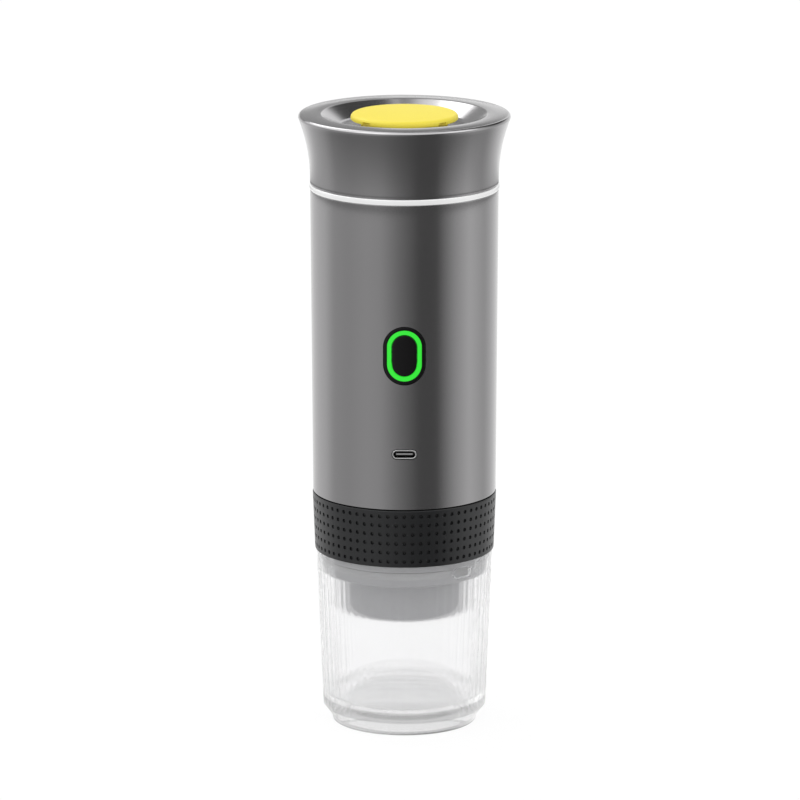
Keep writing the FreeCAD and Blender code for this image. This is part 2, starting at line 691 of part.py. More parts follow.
def screw_holes(body, name, circle, base, depth):
    """Cut the three holes for the screws of a flange."""
    place = polar(circle, SCREW_ANGLE)
    return ring_of_holes(body, name, place, size.screw_hole, base, depth, THREE_FOLD)


def make_cup():
    """The frosted cup: a tapered wall on a recessed foot, sixty flutes and a vent slot."""
    recess = shared.foot_radius - size.cup_foot_width
    underside = size.cup_floor - size.cup_floor_thickness
    corner_level = size.cup_floor + size.cup_corner
    mouth = shared.cup_top_radius - size.cup_wall
    corner = mouth - shared.cup_slope * (size.cup_height - corner_level)
    body = turned("cup", 0.0, [
        (0.0, underside),
        (recess - size.foot_chamfer, underside),
        (recess, underside - size.foot_chamfer),
        (recess, 0.0),
        (shared.foot_radius, 0.0),
        (shared.foot_radius, size.cup_foot_height),
        (shared.shoulder_radius, size.cup_shoulder_height),
        (shared.cup_top_radius, size.cup_height),
        (mouth, size.cup_height),
        (corner, corner_level),
        (corner - size.cup_corner, size.cup_floor),
        (0.0, size.cup_floor),
    ])
    cut_flutes(body)
    slot_place = (0.0, size.cup_height - size.slot_drop, 0.0)
    slot = new_sketch(body, "slot_outline", spot=slot_place, axis=(0, 1, 0), angle=size.slot_turn)
    draw_oval(slot, size.slot_width, size.slot_height)
    pocket(body, "slot_cut", slot, shared.cup_top_radius + OVERCUT)
    return body


def cut_flutes(body):
    """Each flute is one round cut that runs down beside the tapered wall, parallel to it."""
    top = size.cup_height - size.cup_plain_band
    base = size.cup_shoulder_height - size.flute_run_out
    slope = math.atan(shared.cup_slope.value)
    lean = Length(math.degrees(slope), f"atan({shared.cup_slope.formula})")
    run = Length((top - base).value / math.cos(slope), f"({(top - base).formula} / cos({lean.formula}))")
    wall = shared.cup_top_radius - shared.cup_slope * size.cup_plain_band
    out = wall + size.flute_radius - size.flute_depth
    section = new_sketch(body, "flute_outline", "XY_Plane", (0.0, -out, top), (1, 0, 0), lean)
    draw_circle(section, 0.0, 0.0, size.flute_radius)
    flute = pocket(body, "flute", section, run, backwards=True)
    repeat_round(body, "flutes", flute, size.flute_count)


def make_grip_ring():
    """The rubber ring that the hand turns, standing on the collar's foot flange."""
    foot = shared.collar_radius + size.collar_foot + size.seat_clearance / 2.0
    bore = shared.collar_radius + size.seat_clearance / 2.0
    return turned("grip_ring", size.cup_height, [
        (foot, 0.0),
        (shared.grip_base_radius - size.edge_break, 0.0),
        (shared.grip_base_radius, size.edge_break),
        (shared.grip_top_radius, size.grip_height - size.edge_break),
        (shared.grip_top_radius - size.edge_break, size.grip_height),
        (bore, size.grip_height),
        (bore, size.collar_foot),
        (foot, size.collar_foot),
    ])


def make_brew_collar():
    """The sleeve of the brew unit: female thread above, plug for the cup below."""
    foot = shared.collar_radius + size.collar_foot
    top = size.grip_height + size.joint_gap - size.gasket_height
    groove_low = shared.ring_groove_level - size.cup_height
    groove_high = groove_low + size.cup_ring_height + size.seat_clearance
    opening = shared.holder_radius + size.ledge_gap
    return turned("brew_collar", size.cup_height, [
        (opening, -size.sleeve_depth),
        (shared.sleeve_radius - size.lead_in, -size.sleeve_depth),
        (shared.sleeve_radius, size.lead_in - size.sleeve_depth),
        (shared.sleeve_radius, groove_low),
        (shared.ring_groove_radius, groove_low),
        (shared.ring_groove_radius, groove_high),
        (shared.sleeve_radius, groove_high),
        (shared.sleeve_radius, 0.0),
        (foot, 0.0),
        (foot, size.collar_foot),
        (shared.collar_radius, size.collar_foot),
        (shared.collar_radius, top),
        (shared.collar_bore, top),
        (shared.collar_bore, size.collar_foot),
        (shared.sleeve_bore, 0.0),
        (shared.sleeve_bore, size.ledge_thickness - size.sleeve_depth),
        (opening, size.ledge_thickness - size.sleeve_depth),
    ])


def make_cup_ring():
    """The silicone ring in the collar's groove that the cup is pushed over."""
    bore = shared.ring_groove_radius + size.slide_clearance
    bulge = shared.sleeve_radius + size.sleeve_clearance / 2.0
    return turned("cup_ring", shared.ring_groove_level, [
        (bore, 0.0),
        (shared.sleeve_radius, 0.0),
        (bulge, size.cup_ring_height / 2.0),
        (shared.sleeve_radius, size.cup_ring_height),
        (bore, size.cup_ring_height),
    ])


def make_brew_gasket():
    """The flat ring between the brew unit and the lip of the body."""
    level = shared.shell_base - size.gasket_height
    bore = shared.spigot_radius + size.slide_clearance
    return ring("brew_gasket", level, bore, shared.collar_radius - size.seat_clearance, size.gasket_height)


def make_capsule_holder():
    """The chamber under the capsule, hung by its flange on the collar's ledge."""
    ledge = shared.holder_ledge - shared.holder_base
    flange = shared.sleeve_bore - size.seat_clearance
    spout_hole = size.spout_bore + size.spout_wall + size.seat_clearance
    return turned("capsule_holder", shared.holder_base, [
        (spout_hole, 0.0),
        (shared.holder_radius - size.holder_round, 0.0, size.holder_round, 1),
        (shared.holder_radius, size.holder_round),
        (shared.holder_radius, ledge),
        (flange, ledge),
        (flange, ledge + size.holder_flange),
        (shared.holder_bore, ledge + size.holder_flange),
        (shared.holder_bore, size.holder_floor + size.holder_chamfer),
        (shared.holder_bore - size.holder_chamfer, size.holder_floor),
        (spout_hole, size.holder_floor),
    ])


def make_foil_plate():
    """The plate that tears the foil: rings of small studs inside a raised seat ring."""
    seat_inner = size.capsule_mouth + size.slide_clearance
    seat_outer = seat_inner + size.seat_width
    edge = shared.holder_bore - size.holder_chamfer - size.seat_clearance
    top = size.plate_thickness + size.stud_height
    body = turned("foil_plate", shared.holder_floor_top, [
        (0.0, 0.0),
        (edge, 0.0),
        (edge, size.plate_thickness),
        (seat_outer, size.plate_thickness),
        (seat_outer, top),
        (seat_inner, top),
        (seat_inner, size.plate_thickness),
        (0.0, size.plate_thickness),
    ])
    for step, count in ((0, 1), (1, 6), (2, 12)):
        spot = (size.stud_pitch * step, 0.0, 0.0)
        studs = new_sketch(body, f"stud_outline_{step}", spot=spot)
        draw_outline(studs, [
            (0.0, size.plate_thickness / 2.0),
            (size.stud_radius, size.plate_thickness / 2.0),
            (size.stud_radius, size.plate_thickness),
            (size.stud_tip, top),
            (0.0, top),
        ])
        stud = revolve(body, f"stud_{step}", studs)
        if count > 1:
            repeat_round(body, f"studs_{step}", stud, count)
    place = (size.stud_pitch * 1.5, 0.0)
    ring_of_holes(body, "drain", place, size.drain_radius, 0.0, size.plate_thickness, size.drain_count)
    return body


def make_outlet_spout():
    """The nozzle in the holder's floor, held by a collar under it."""
    neck = size.spout_bore + size.spout_wall
    collar = -size.spout_drop / 2.0
    return turned("outlet_spout", shared.holder_base, [
        (size.spout_bore, -size.spout_drop),
        (neck - size.edge_break, -size.spout_drop),
        (neck + size.edge_break, collar),
        (neck + size.spout_flange, collar),
        (neck + size.spout_flange, 0.0),
        (neck, 0.0),
        (neck, size.holder_floor),
        (size.spout_bore, size.holder_floor),
    ])


def make_capsule_cage():
    """The bell round the capsule: a foot rim over the seal, and a collar at its top."""
    height = shared.cage_top - shared.cage_base
    ceiling = shared.cage_ceiling - shared.cage_base
    plate = shared.needle_plate_base - shared.cage_base
    lip = size.capsule_top - size.needle_plate_inset - size.needle_ledge
    return turned("capsule_cage", shared.cage_base, [
        (size.capsule_mouth, 0.0),
        (shared.cage_rim_radius, 0.0),
        (shared.cage_rim_radius, size.cage_flange),
        (size.capsule_mouth + size.cage_wall, size.cage_flange),
        (shared.cage_top_radius, height - size.cage_flange),
        (shared.cage_top_radius + size.cage_collar, height - size.cage_flange),
        (shared.cage_top_radius + size.cage_collar, height),
        (shared.needle_plate_bore, height),
        (shared.needle_plate_bore, plate),
        (lip, plate),
        (lip, ceiling),
        (size.capsule_top, ceiling),
    ])


def make_cage_seal():
    """The ring under the cage that presses on the capsule's flange."""
    bore = size.capsule_mouth + size.seat_clearance
    lip = size.cage_seal_width / 3.0
    return turned("cage_seal", shared.cage_base - size.cage_seal_height, [
        (bore + lip, 0.0),
        (bore + lip * 2.0, 0.0),
        (bore + size.cage_seal_width, size.cage_seal_height),
        (bore, size.cage_seal_height),
    ])


def make_needle_plate():
    """The steel disc that carries the needles, with its water holes."""
    radius = shared.needle_plate_bore - size.seat_clearance
    body = turned("needle_plate", shared.needle_plate_base, [
        (0.0, 0.0),
        (radius, 0.0),
        (radius, size.needle_plate_thickness),
        (0.0, size.needle_plate_thickness),
    ])
    place = polar(size.water_hole_circle, SCREW_ANGLE)
    depth = size.needle_plate_thickness
    ring_of_holes(body, "water", place, size.water_hole_radius, 0.0, depth, THREE_FOLD)
    return body


def make_piercing_needles():
    """Three pointed needles that hang from the needle plate."""
    body = new_body("piercing_needles", shared.needle_plate_base)
    sketch = new_sketch(body, "needle_outline", spot=(size.needle_circle, 0.0, 0.0))
    draw_outline(sketch, [
        (0.0, -size.needle_length),
        (size.needle_point, -size.needle_length),
        (size.needle_radius, size.needle_taper - size.needle_length),
        (size.needle_radius, 0.0),
        (0.0, 0.0),
    ])
    needle = revolve(body, "needle", sketch)
    repeat_round(body, "needles", needle, THREE_FOLD)
    return body


def make_head_gasket():
    """The ring between the cage and the brew head, in the head's groove."""
    bore = size.capsule_top + size.seat_clearance
    radius = shared.cage_top_radius - size.seat_clearance
    return ring("head_gasket", shared.cage_top, bore, radius, size.head_gasket_height)


def make_cage_clamp():
    """The ring that holds the cage by its collar against the brew head."""
    base = -(size.cage_flange + size.clamp_lip)
    bore = shared.cage_top_radius + size.slide_clearance
    recess = shared.cage_top_radius + size.cage_collar + size.seat_clearance
    body = turned("cage_clamp", shared.cage_top, [
        (bore, base),
        (shared.clamp_radius, base),
        (shared.clamp_radius, 0.0),
        (recess, 0.0),
        (recess, -size.cage_flange),
        (bore, -size.cage_flange),
    ])
    screw_holes(body, "clamp_screw", shared.cage_screw_circle, base, -base)
    return body


def make_brew_head():
    """The water manifold: a flange in the frame, a barrel, and a chamber over the needles."""
    seat = shared.frame_top - shared.cage_top
    top = shared.deck_base - shared.cage_top
    chamber = size.capsule_top - size.chamber_inset
    body = turned("brew_head", shared.cage_top, [
        (0.0, size.chamber_height),
        (chamber, size.chamber_height),
        (chamber, 0.0),
        (size.capsule_top, 0.0),
        (size.capsule_top, size.head_gasket_height),
        (shared.cage_top_radius, size.head_gasket_height),
        (shared.cage_top_radius, 0.0),
        (shared.clamp_radius, 0.0),
        (shared.clamp_radius, size.head_flange),
        (shared.barrel_radius, size.head_flange),
        (shared.barrel_radius, seat),
        (shared.head_flange_radius, seat),
        (shared.head_flange_radius, top),
        (0.0, top),
    ])
    x, y = polar(shared.hose_circle, HOSE_ANGLE)
    nipple = level_sketch(body, "nipple_outline", top)
    draw_circle(nipple, x, y, size.hose_bore - size.nipple_play)
    pad(body, "nipple", nipple, size.nipple_length)
    channel = level_sketch(body, "channel_outline", size.chamber_height)
    draw_circle(channel, x, y, size.gallery_radius)
    pocket(body, "channel", channel, top + size.nipple_length - size.chamber_height)
    gallery = new_sketch(body, "gallery_outline", "YZ_Plane", axis=(0, 1, 0), angle=HOSE_ANGLE)
    above = size.chamber_height + size.gallery_radius / 2.0
    draw_circle(gallery, 0.0, above, size.gallery_radius)
    pocket(body, "gallery", gallery, shared.hose_circle)
    screw_holes(body, "cage_screw", shared.cage_screw_circle, 0.0, size.head_flange)
    screw_holes(body, "frame_screw", shared.frame_screw_circle, seat, size.clamp_height)
    return body


def make_screws(label, level, circle, length):
    """Three pan-head screws that point upwards, with the top of each head at the level."""
    body = new_body(label, level)
    x, y = polar(circle, SCREW_ANGLE)
    sketch = new_sketch(body, f"{label}_outline", spot=(x, 0.0, -y), axis=(0, 1, 0), angle=SCREW_ANGLE)
    shank = size.screw_hole - size.screw_play
    head = shank + size.screw_head_margin
    draw_outline(sketch, [
        (0.0, -size.screw_head_height),
        (head - size.edge_break, -size.screw_head_height),
        (head, size.edge_break - size.screw_head_height),
        (head, 0.0),
        (shank, 0.0),
        (shank, length - size.screw_point),
        (shank / 2.0, length),
        (0.0, length),
    ])
    screw = revolve(body, f"{label}_turn", sketch)
    repeat_round(body, f"{label}_ring", screw, THREE_FOLD)
    return body


def make_both_sets_of_screws():
    """The screws of the cage's clamp and those that hold the whole frame together."""
    clamp_foot = size.cage_flange + size.clamp_lip
    frame_reach = size.frame_thickness + size.clamp_height + size.deck_thickness + size.boss_height
    return [
        make_screws("cage_screws", shared.cage_top - clamp_foot, shared.cage_screw_circle,
                    clamp_foot + size.head_flange),
        make_screws("frame_screws", shared.frame_base, shared.frame_screw_circle,
                    frame_reach - size.screw_point),
    ]


def make_bottom_frame():
    """The frame that closes the body, with the ribbed spigot that the brew unit screws on."""
    body = turned("bottom_frame", shared.frame_base, [
        (shared.frame_opening, 0.0),
        (shared.spigot_bore, 0.0),
        (shared.spigot_bore, -size.spigot_length),
        (shared.spigot_radius - size.lead_in, -size.spigot_length),
        (shared.spigot_radius, size.lead_in - size.spigot_length),
        (shared.spigot_radius, 0.0),
        (shared.frame_radius, 0.0),
        (shared.frame_radius, size.frame_thickness),
        (shared.frame_opening, size.frame_thickness),
    ])
    outline = level_sketch(body, "rib_outline", -size.head_flange)
    inner = shared.clamp_radius + size.slide_clearance
    root = shared.spigot_bore + size.seat_clearance
    draw_box(outline, inner, -size.rib_thickness / 2.0, root, size.rib_thickness / 2.0)
    rib = pad(body, "rib", outline, size.head_flange)
    repeat_round(body, "ribs", rib, size.rib_count)
    screw_holes(body, "frame_screw", shared.frame_screw_circle, 0.0, size.frame_thickness)
    return body


def make_inner_frame():
    """The skeleton: foot ring, deck, motor pedestal, posts, top plate and cradles."""
    foot_bore = shared.head_flange_radius + size.seat_clearance
    deck = size.clamp_height
    floor = deck + size.deck_thickness
    stand = shared.motor_base - shared.frame_top
    bridge = shared.bridge_base - shared.frame_top
    pedestal_bore = size.motor_radius - size.pedestal_wall
    body = turned("inner_frame", shared.frame_top, [
        (0.0, deck),
        (foot_bore, deck),
        (foot_bore, 0.0),
        (shared.frame_radius, 0.0),
        (shared.frame_radius, floor),
        (size.motor_radius, floor),
        (size.motor_radius, stand),
        (pedestal_bore, stand),
        (pedestal_bore, floor),
        (0.0, floor),
    ])
    add_posts(body, floor, bridge)
    plate = level_sketch(body, "bridge_outline", bridge)
    draw_circle(plate, 0.0, 0.0, shared.frame_radius - size.seat_clearance)
    pad(body, "bridge", plate, size.bridge_thickness)
    add_bosses(body, floor)
    add_cradles(body, floor, bridge)
    cut_frame_openings(body, bridge)
    return body


def add_posts(body, floor, bridge):
    """Two round posts near the wall and two square ones behind the board."""
    posts = level_sketch(body, "post_outline", floor - size.post_root)
    circle = shared.frame_radius - size.post_root - size.post_width / 2.0
    for angle in POST_ANGLES:
        x, y = polar(circle, angle)
        draw_circle(posts, x, y, size.post_width / 2.0)
    outer = size.board_width / 2.0 - size.board_edge
    inner = outer - size.post_width
    front = -shared.board_back
    for left, right in ((inner, outer), (-outer, -inner)):
        draw_box(posts, left, front, right, front + size.post_width)
    pad(body, "posts", posts, bridge - floor + size.post_root * 2.0)


def add_bosses(body, floor):
    """Three bosses on the deck that the frame screws bite into."""
    outline = level_sketch(body, "boss_outline", floor)
    x, y = polar(shared.frame_screw_circle, SCREW_ANGLE)
    draw_circle(outline, x, y, shared.boss_radius)
    boss = pad(body, "boss", outline, size.boss_height)
    repeat_round(body, "bosses", boss, THREE_FOLD)
    depth = size.deck_thickness + size.boss_height
    screw_holes(body, "pilot", shared.frame_screw_circle, size.clamp_height, depth)


def add_cradles(body, floor, bridge):
    """Short cups round both ends of each cell, with a slot for the nickel rings."""
    bore = size.cell_radius + size.seat_clearance
    x, y = polar(shared.cell_circle, CELL_ANGLES[0])
    for name, base in (("lower", floor), ("upper", bridge - size.cradle_height)):
        outline = level_sketch(body, f"{name}_cradle_outline", base)
        draw_circle(outline, x, y, bore + size.cradle_wall)
        draw_circle(outline, x, y, bore)
        cradle = pad(body, f"{name}_cradle", outline, size.cradle_height)
        repeat_round(body, f"{name}_cradles", cradle, THREE_FOLD)
    slot = new_sketch(body, "tab_slot_outline")
    depth = size.tab_thickness + size.tab_gap
    for outer, base in ((shared.lower_tab_radius, floor), (shared.cell_circle, bridge - depth)):
        inner = outer - size.tab_width
        draw_box(slot, inner - size.tab_gap, base, outer + size.tab_gap, base + depth)
    revolve(body, "tab_slot", slot, cut=True)


def cut_frame_openings(body, bridge):
    """Holes for the hoses and the window of the temperature sensor."""
    hose = level_sketch(body, "hose_hole_outline", size.clamp_height)
    x, y = polar(shared.hose_circle, HOSE_ANGLE)
    draw_circle(hose, x, y, size.hose_radius + size.seat_clearance)
    pocket(body, "hose_hole", hose, size.deck_thickness)
    feed = level_sketch(body, "feed_hole_outline", bridge)
    draw_circle(feed, 0.0, 0.0, shared.heater_bore)
    pocket(body, "feed_hole", feed, size.bridge_thickness)
    window = level_sketch(body, "window_outline", bridge)
    start = shared.sensor_start - size.sensor_gap
    end = shared.sensor_start + size.sensor_length + size.sensor_gap
    half = size.sensor_width / 2.0 + size.sensor_gap
    draw_box(window, start, -half, end, half)
    pocket(body, "window", window, size.bridge_thickness)


def make_battery_cells():
    """Three cells that stand between the nickel rings, each with its raised cap."""
    shoulder = size.cell_height - size.terminal_height
    cells = []
    for number, angle in enumerate(CELL_ANGLES, start=1):
        label = f"battery_cell_{number}"
        body = new_body(label, shared.cell_base, polar(shared.cell_circle, angle))
        sketch = new_sketch(body, f"{label}_outline")
        draw_outline(sketch, [
            (0.0, 0.0),
            (size.cell_radius - size.edge_break, 0.0),
            (size.cell_radius, size.edge_break),
            (size.cell_radius, shoulder - size.cell_shoulder),
            (size.cell_radius - size.cell_shoulder, shoulder),
            (size.terminal_radius, shoulder),
            (size.terminal_radius, size.cell_height),
            (0.0, size.cell_height),
        ])
        revolve(body, f"{label}_turn", sketch)
        cells.append(body)
    return cells


def make_battery_tabs():
    """Two nickel rings, one under the cells and one over them, notched for the delivery hose."""
    body = new_body("battery_tabs", shared.deck_top)
    top = shared.bridge_base - shared.deck_top
    sketch = new_sketch(body, "tab_outline")
    for outer, base in ((shared.lower_tab_radius, 0.0), (shared.cell_circle, top - size.tab_thickness)):
        draw_box(sketch, outer - size.tab_width, base, outer, base + size.tab_thickness)
    revolve(body, "tabs", sketch)
    notch = level_sketch(body, "notch_outline", 0.0)
    x, y = polar(shared.hose_circle, HOSE_ANGLE)
    draw_circle(notch, x, y, size.hose_radius + size.tab_gap)
    pocket(body, "notch", notch, top)
    return body


def make_pump_motor():
    """The motor's can, with its two end plates and their bearings."""
    bearing = size.shaft_radius + size.shaft_play
    inside = size.motor_radius - size.motor_wall
    return turned("pump_motor", shared.motor_base, [
        (bearing, 0.0),
        (size.motor_radius - size.lead_in, 0.0),
        (size.motor_radius, size.lead_in),
        (size.motor_radius, size.motor_length),
        (bearing, size.motor_length),
        (bearing, size.motor_length - size.motor_end),
        (inside, size.motor_length - size.motor_end),
        (inside, size.motor_end),
        (bearing, size.motor_end),
    ])


def make_motor_rotor():
    """The armature and commutator on the shaft, with the eccentric that works the pump."""
    core = size.motor_radius - size.motor_wall - size.air_gap
    brushes = size.motor_length - size.commutator_gap
    armature_top = brushes - size.commutator_height
    body = turned("motor_rotor", shared.motor_base, [
        (0.0, size.slide_clearance),
        (size.shaft_radius, size.slide_clearance),
        (size.shaft_radius, size.armature_rise),
        (core, size.armature_rise),
        (core, armature_top),
        (size.commutator_radius, armature_top),
        (size.commutator_radius, brushes),
        (size.shaft_radius, brushes),
        (size.shaft_radius, size.motor_length + size.shaft_reach),
        (0.0, size.motor_length + size.shaft_reach),
    ])
    cam = level_sketch(body, "eccentric_outline", size.motor_length + size.eccentric_rise)
    draw_circle(cam, size.eccentric_throw, 0.0, size.eccentric_radius)
    pad(body, "eccentric", cam, size.eccentric_height)
    return body


def make_pump_head():
    """The pump head over the eccentric, with a side port down to the delivery hose."""
    well = size.eccentric_radius + size.eccentric_throw + size.well_play
    inlet = size.feed_bore - size.nipple_play
    body = turned("pump_head", shared.pump_base, [
        (well, 0.0),
        (shared.pump_radius, 0.0),
        (shared.pump_radius, size.pump_height - size.pump_bevel),
        (shared.pump_radius - size.pump_bevel, size.pump_height),
        (inlet, size.pump_height),
        (inlet, size.pump_height + size.nipple_length),
        (0.0, size.pump_height + size.nipple_length),
        (0.0, size.well_height),
        (well, size.well_height),
    ])
    x, y = polar(shared.hose_circle, HOSE_ANGLE)
    port = level_sketch(body, "port_outline", size.delivery_rise)
    draw_circle(port, x, y, size.hose_radius + size.delivery_wall)
    pad(body, "port", port, size.delivery_height)
    nipple = level_sketch(body, "delivery_outline", size.delivery_rise - size.nipple_length)
    draw_circle(nipple, x, y, size.hose_bore - size.nipple_play)
    pad(body, "delivery", nipple, size.nipple_length)
    return body


def make_hose(label, level, place, bore, radius, run):
    """A straight length of hose."""
    body = new_body(label, level, place)
    sketch = new_sketch(body, f"{label}_outline")
    draw_box(sketch, bore, 0.0, radius, run)
    revolve(body, f"{label}_turn", sketch)
    return body


def make_hoses():
    """The feed hose from the tank and the delivery hose down to the brew head."""
    feed_run = shared.tank_base - size.outlet_thickness - shared.pump_top
    run = shared.delivery_base - shared.deck_base
    beside = polar(shared.hose_circle, HOSE_ANGLE)
    axis = (0.0, 0.0)
    return [
        make_hose("inlet_hose", shared.pump_top, axis, size.feed_bore, size.feed_radius, feed_run),
        make_hose("outlet_hose", shared.deck_base, beside, size.hose_bore, size.hose_radius, run),
    ]


def make_heater():
    """The ring heater under the tank and the temperature sensor clipped under it."""
    plate = ring("heater_plate", shared.bridge_top, shared.heater_bore, shared.heater_radius,
                 size.heater_thickness)
    sensor = new_body("temperature_sensor", shared.bridge_top)
    depth = size.bridge_thickness - size.sensor_gap
    sketch = level_sketch(sensor, "sensor_outline", -depth)
    half = size.sensor_width / 2.0
    draw_box(sketch, shared.sensor_start, -half, shared.sensor_start + size.sensor_length, half)
    pad(sensor, "sensor", sketch, depth)
    return [plate, sensor]


def make_tank_liner():
    """The drawn steel tank with its rolled lip over the neck."""
    height = shared.tank_top - shared.tank_base
    inner = shared.tank_radius - size.tank_wall
    lip = shared.tank_radius + size.tank_lip
    hole = shared.outlet_hole + size.seat_clearance / 2.0
    flat = shared.tank_radius - size.tank_round
    return turned("tank_liner", shared.tank_base, [
        (hole, 0.0),
        (flat, 0.0, size.tank_round, 1),
        (shared.tank_radius, size.tank_round),
        (shared.tank_radius, height - size.tank_wall),
        (lip, height - size.tank_wall),
        (lip, height),
        (inner, height),
        (inner, size.tank_round, size.tank_round - size.tank_wall, -1),
        (flat, size.tank_wall),
        (hole, size.tank_wall),
    ])


def make_tank_outlet():
    """The fitting under the tank, with its flange and the nipple for the feed hose."""
    nipple = size.feed_bore - size.nipple_play
    flange = -size.outlet_thickness
    return turned("tank_outlet", shared.tank_base, [
        (size.outlet_bore, flange - size.nipple_length),
        (nipple, flange - size.nipple_length),
        (nipple, flange),
        (shared.outlet_flange_radius, flange),
        (shared.outlet_flange_radius, 0.0),
        (shared.outlet_hole, 0.0),
        (shared.outlet_hole, size.tank_wall),
        (size.outlet_bore, size.tank_wall),
    ])


def make_tank_filter():
    """The domed strainer over the tank's outlet."""
    body = turned("tank_filter", shared.tank_base + size.tank_wall, [
        (0.0, size.filter_rise),
        (size.filter_dome, size.filter_sheet),
        (size.filter_dome, 0.0),
        (size.filter_radius, 0.0),
        (size.filter_radius, size.filter_sheet),
        (size.filter_dome + size.filter_sheet, size.filter_rise),
        (0.0, size.filter_rise + size.filter_sheet),
    ])
    place = (size.filter_dome / 2.0, 0.0)
    depth = size.filter_rise + size.filter_sheet
    ring_of_holes(body, "strainer", place, size.filter_hole, 0.0, depth, size.filter_count)
    return body


def make_tank_insulation():
    """The foam sleeve between tank and body."""
    height = shared.shell_top - size.skirt_height - size.skirt_gap - shared.bridge_top
    bore = shared.tank_radius + size.slide_clearance
    radius = shared.frame_radius - size.slide_clearance
    return ring("tank_insulation", shared.bridge_top, bore, radius, height)


def make_tank_collar():
    """The threaded neck: flange on the body's edge, skirt inside it, neck up into the lid."""
    neck = shared.neck_top - shared.shell_top
    skirt = shared.shell_top_radius - size.shell_wall - size.seat_clearance
    return turned("tank_collar", shared.shell_top, [
        (shared.neck_bore, -size.neck_web),
        (skirt - size.skirt_wall, -size.neck_web),
        (skirt - size.skirt_wall, -size.skirt_height),
        (skirt, -size.skirt_height),
        (skirt, 0.0),
        (shared.neck_flange_radius, 0.0),
        (shared.neck_flange_radius, size.neck_flange),
        (shared.neck_radius, size.neck_flange),
        (shared.neck_radius, neck - size.lead_in),
        (shared.neck_radius - size.lead_in, neck),
        (shared.neck_bore, neck),
    ])


def make_trim_ring():
    """The bright ring that covers the neck's flange."""
    outer = shared.shell_top_radius + size.trim_proud
    step = shared.neck_flange_radius + size.seat_clearance / 2.0
    bore = shared.neck_radius + size.slide_clearance
    edge = size.edge_break / 2.0
    return turned("trim_ring", shared.shell_top, [
        (step, 0.0),
        (outer - edge, 0.0),
        (outer, edge),
        (outer, size.trim_height - edge),
        (outer - edge, size.trim_height),
        (bore, size.trim_height),
        (bore, size.neck_flange),
        (step, size.neck_flange),
    ])


def make_body_shell():
    """The tapered grey body with its lip, the button opening and the port opening."""
    top = shared.shell_top_radius
    body = turned("body_shell", shared.shell_base, [
        (shared.lip_bore, 0.0),
        (size.body_radius - size.edge_break, 0.0),
        (size.body_radius, size.edge_break),
        (top, size.shell_height),
        (top - size.shell_wall, size.shell_height),
        (size.body_radius - size.shell_wall, size.shell_lip),
        (shared.lip_bore, size.shell_lip),
    ])
    margin = size.port_margin * 2.0
    metal = size.port_wall * 2.0
    openings = (
        ("button", shared.button_level - shared.shell_base,
         size.bezel_width + margin, size.bezel_height + margin),
        ("port", size.port_height,
         size.port_width + metal + margin, size.port_tall + metal + margin),
    )
    for name, level, width, height in openings:
        sketch = new_sketch(body, f"{name}_opening_outline", spot=(0.0, level, 0.0))
        draw_oval(sketch, width, height)
        pocket(body, f"{name}_opening", sketch, top + OVERCUT)
    return body


def oval_tube(label, level, back, front, outside, inside=None):
    """An oval tube or block that points forward from its back."""
    body = new_body(label, level)
    outer = new_sketch(body, f"{label}_outside", spot=(0.0, 0.0, back))
    draw_oval(outer, *outside)
    pad(body, f"{label}_tube", outer, front - back)
    if inside is not None:
        inner = new_sketch(body, f"{label}_inside", spot=(0.0, 0.0, back))
        draw_oval(inner, *inside)
        pocket(body, f"{label}_bore", inner, front - back)
    return body


def flush_tube(label, back, surface, outside, inside=None):
    """An oval tube at the button's level, cut to a round surface about the body's axis."""
    tall = outside[1]
    body = oval_tube(label, shared.button_level, back, surface + OVERCUT, outside, inside)
    sketch = new_sketch(body, f"{label}_surface")
    draw_box(sketch, surface, -tall, surface + tall, tall)
    revolve(body, f"{label}_trim", sketch, cut=True)
    return body


def make_button_group():
    """Black frame, light ring and push button, one inside the other."""
    front = shared.front_at_button + size.button_proud
    play = size.seat_clearance
    gap = size.slide_clearance * 2.0
    band = size.ring_band * 2.0
    bezel = (size.bezel_width, size.bezel_height)
    light = (size.ring_width, size.ring_height)
    window = (size.ring_width - band, size.ring_height - band)
    pressed = shared.board_front + size.switch_depth + size.plunger_rise + size.switch_gap
    return [
        flush_tube("button_bezel", shared.board_front, front, bezel, light),
        flush_tube("light_ring", shared.board_front, front - size.button_step,
                   (light[0] - play, light[1] - play), window),
        flush_tube("power_button", pressed + size.button_travel, front - size.button_step * 2.0,
                   (window[0] - gap, window[1] - gap)),
    ]


def make_tact_switch():
    """The small switch on the board that the button presses."""
    body = new_body("tact_switch", shared.button_level)
    front = (0.0, 0.0, shared.board_front)
    case = new_sketch(body, "switch_outline", spot=front)
    draw_square(case, size.switch_side)
    pad(body, "switch_case", case, size.switch_depth)
    plunger = new_sketch(body, "plunger_outline", spot=front)
    draw_circle(plunger, 0.0, 0.0, size.plunger_radius)
    pad(body, "plunger", plunger, size.switch_depth + size.plunger_rise)
    return body


def make_control_board():
    """The board on its posts, with the coil and the main chip between port and button."""
    low = shared.deck_top + size.board_margin
    high = shared.bridge_base - size.board_margin
    body = new_body("control_board", low)
    outline = new_sketch(body, "board_outline", spot=(0.0, 0.0, shared.board_back))
    half = size.board_width / 2.0
    draw_box(outline, -half, 0.0, half, high - low)
    pad(body, "board", outline, size.board_thickness)
    coil_base = shared.port_level - low + size.port_tall / 2.0 + size.port_wall + size.chip_gap
    chip_base = coil_base + size.coil_side + size.chip_gap
    mounted = (
        ("coil", size.coil_side, coil_base, size.coil_height),
        ("chip", size.chip_side, chip_base, size.chip_height),
    )
    for name, side, base, height in mounted:
        sketch = new_sketch(body, f"{name}_outline", spot=(0.0, 0.0, shared.board_front))
        draw_square(sketch, side, base)
        pad(body, name, sketch, height)
    return body


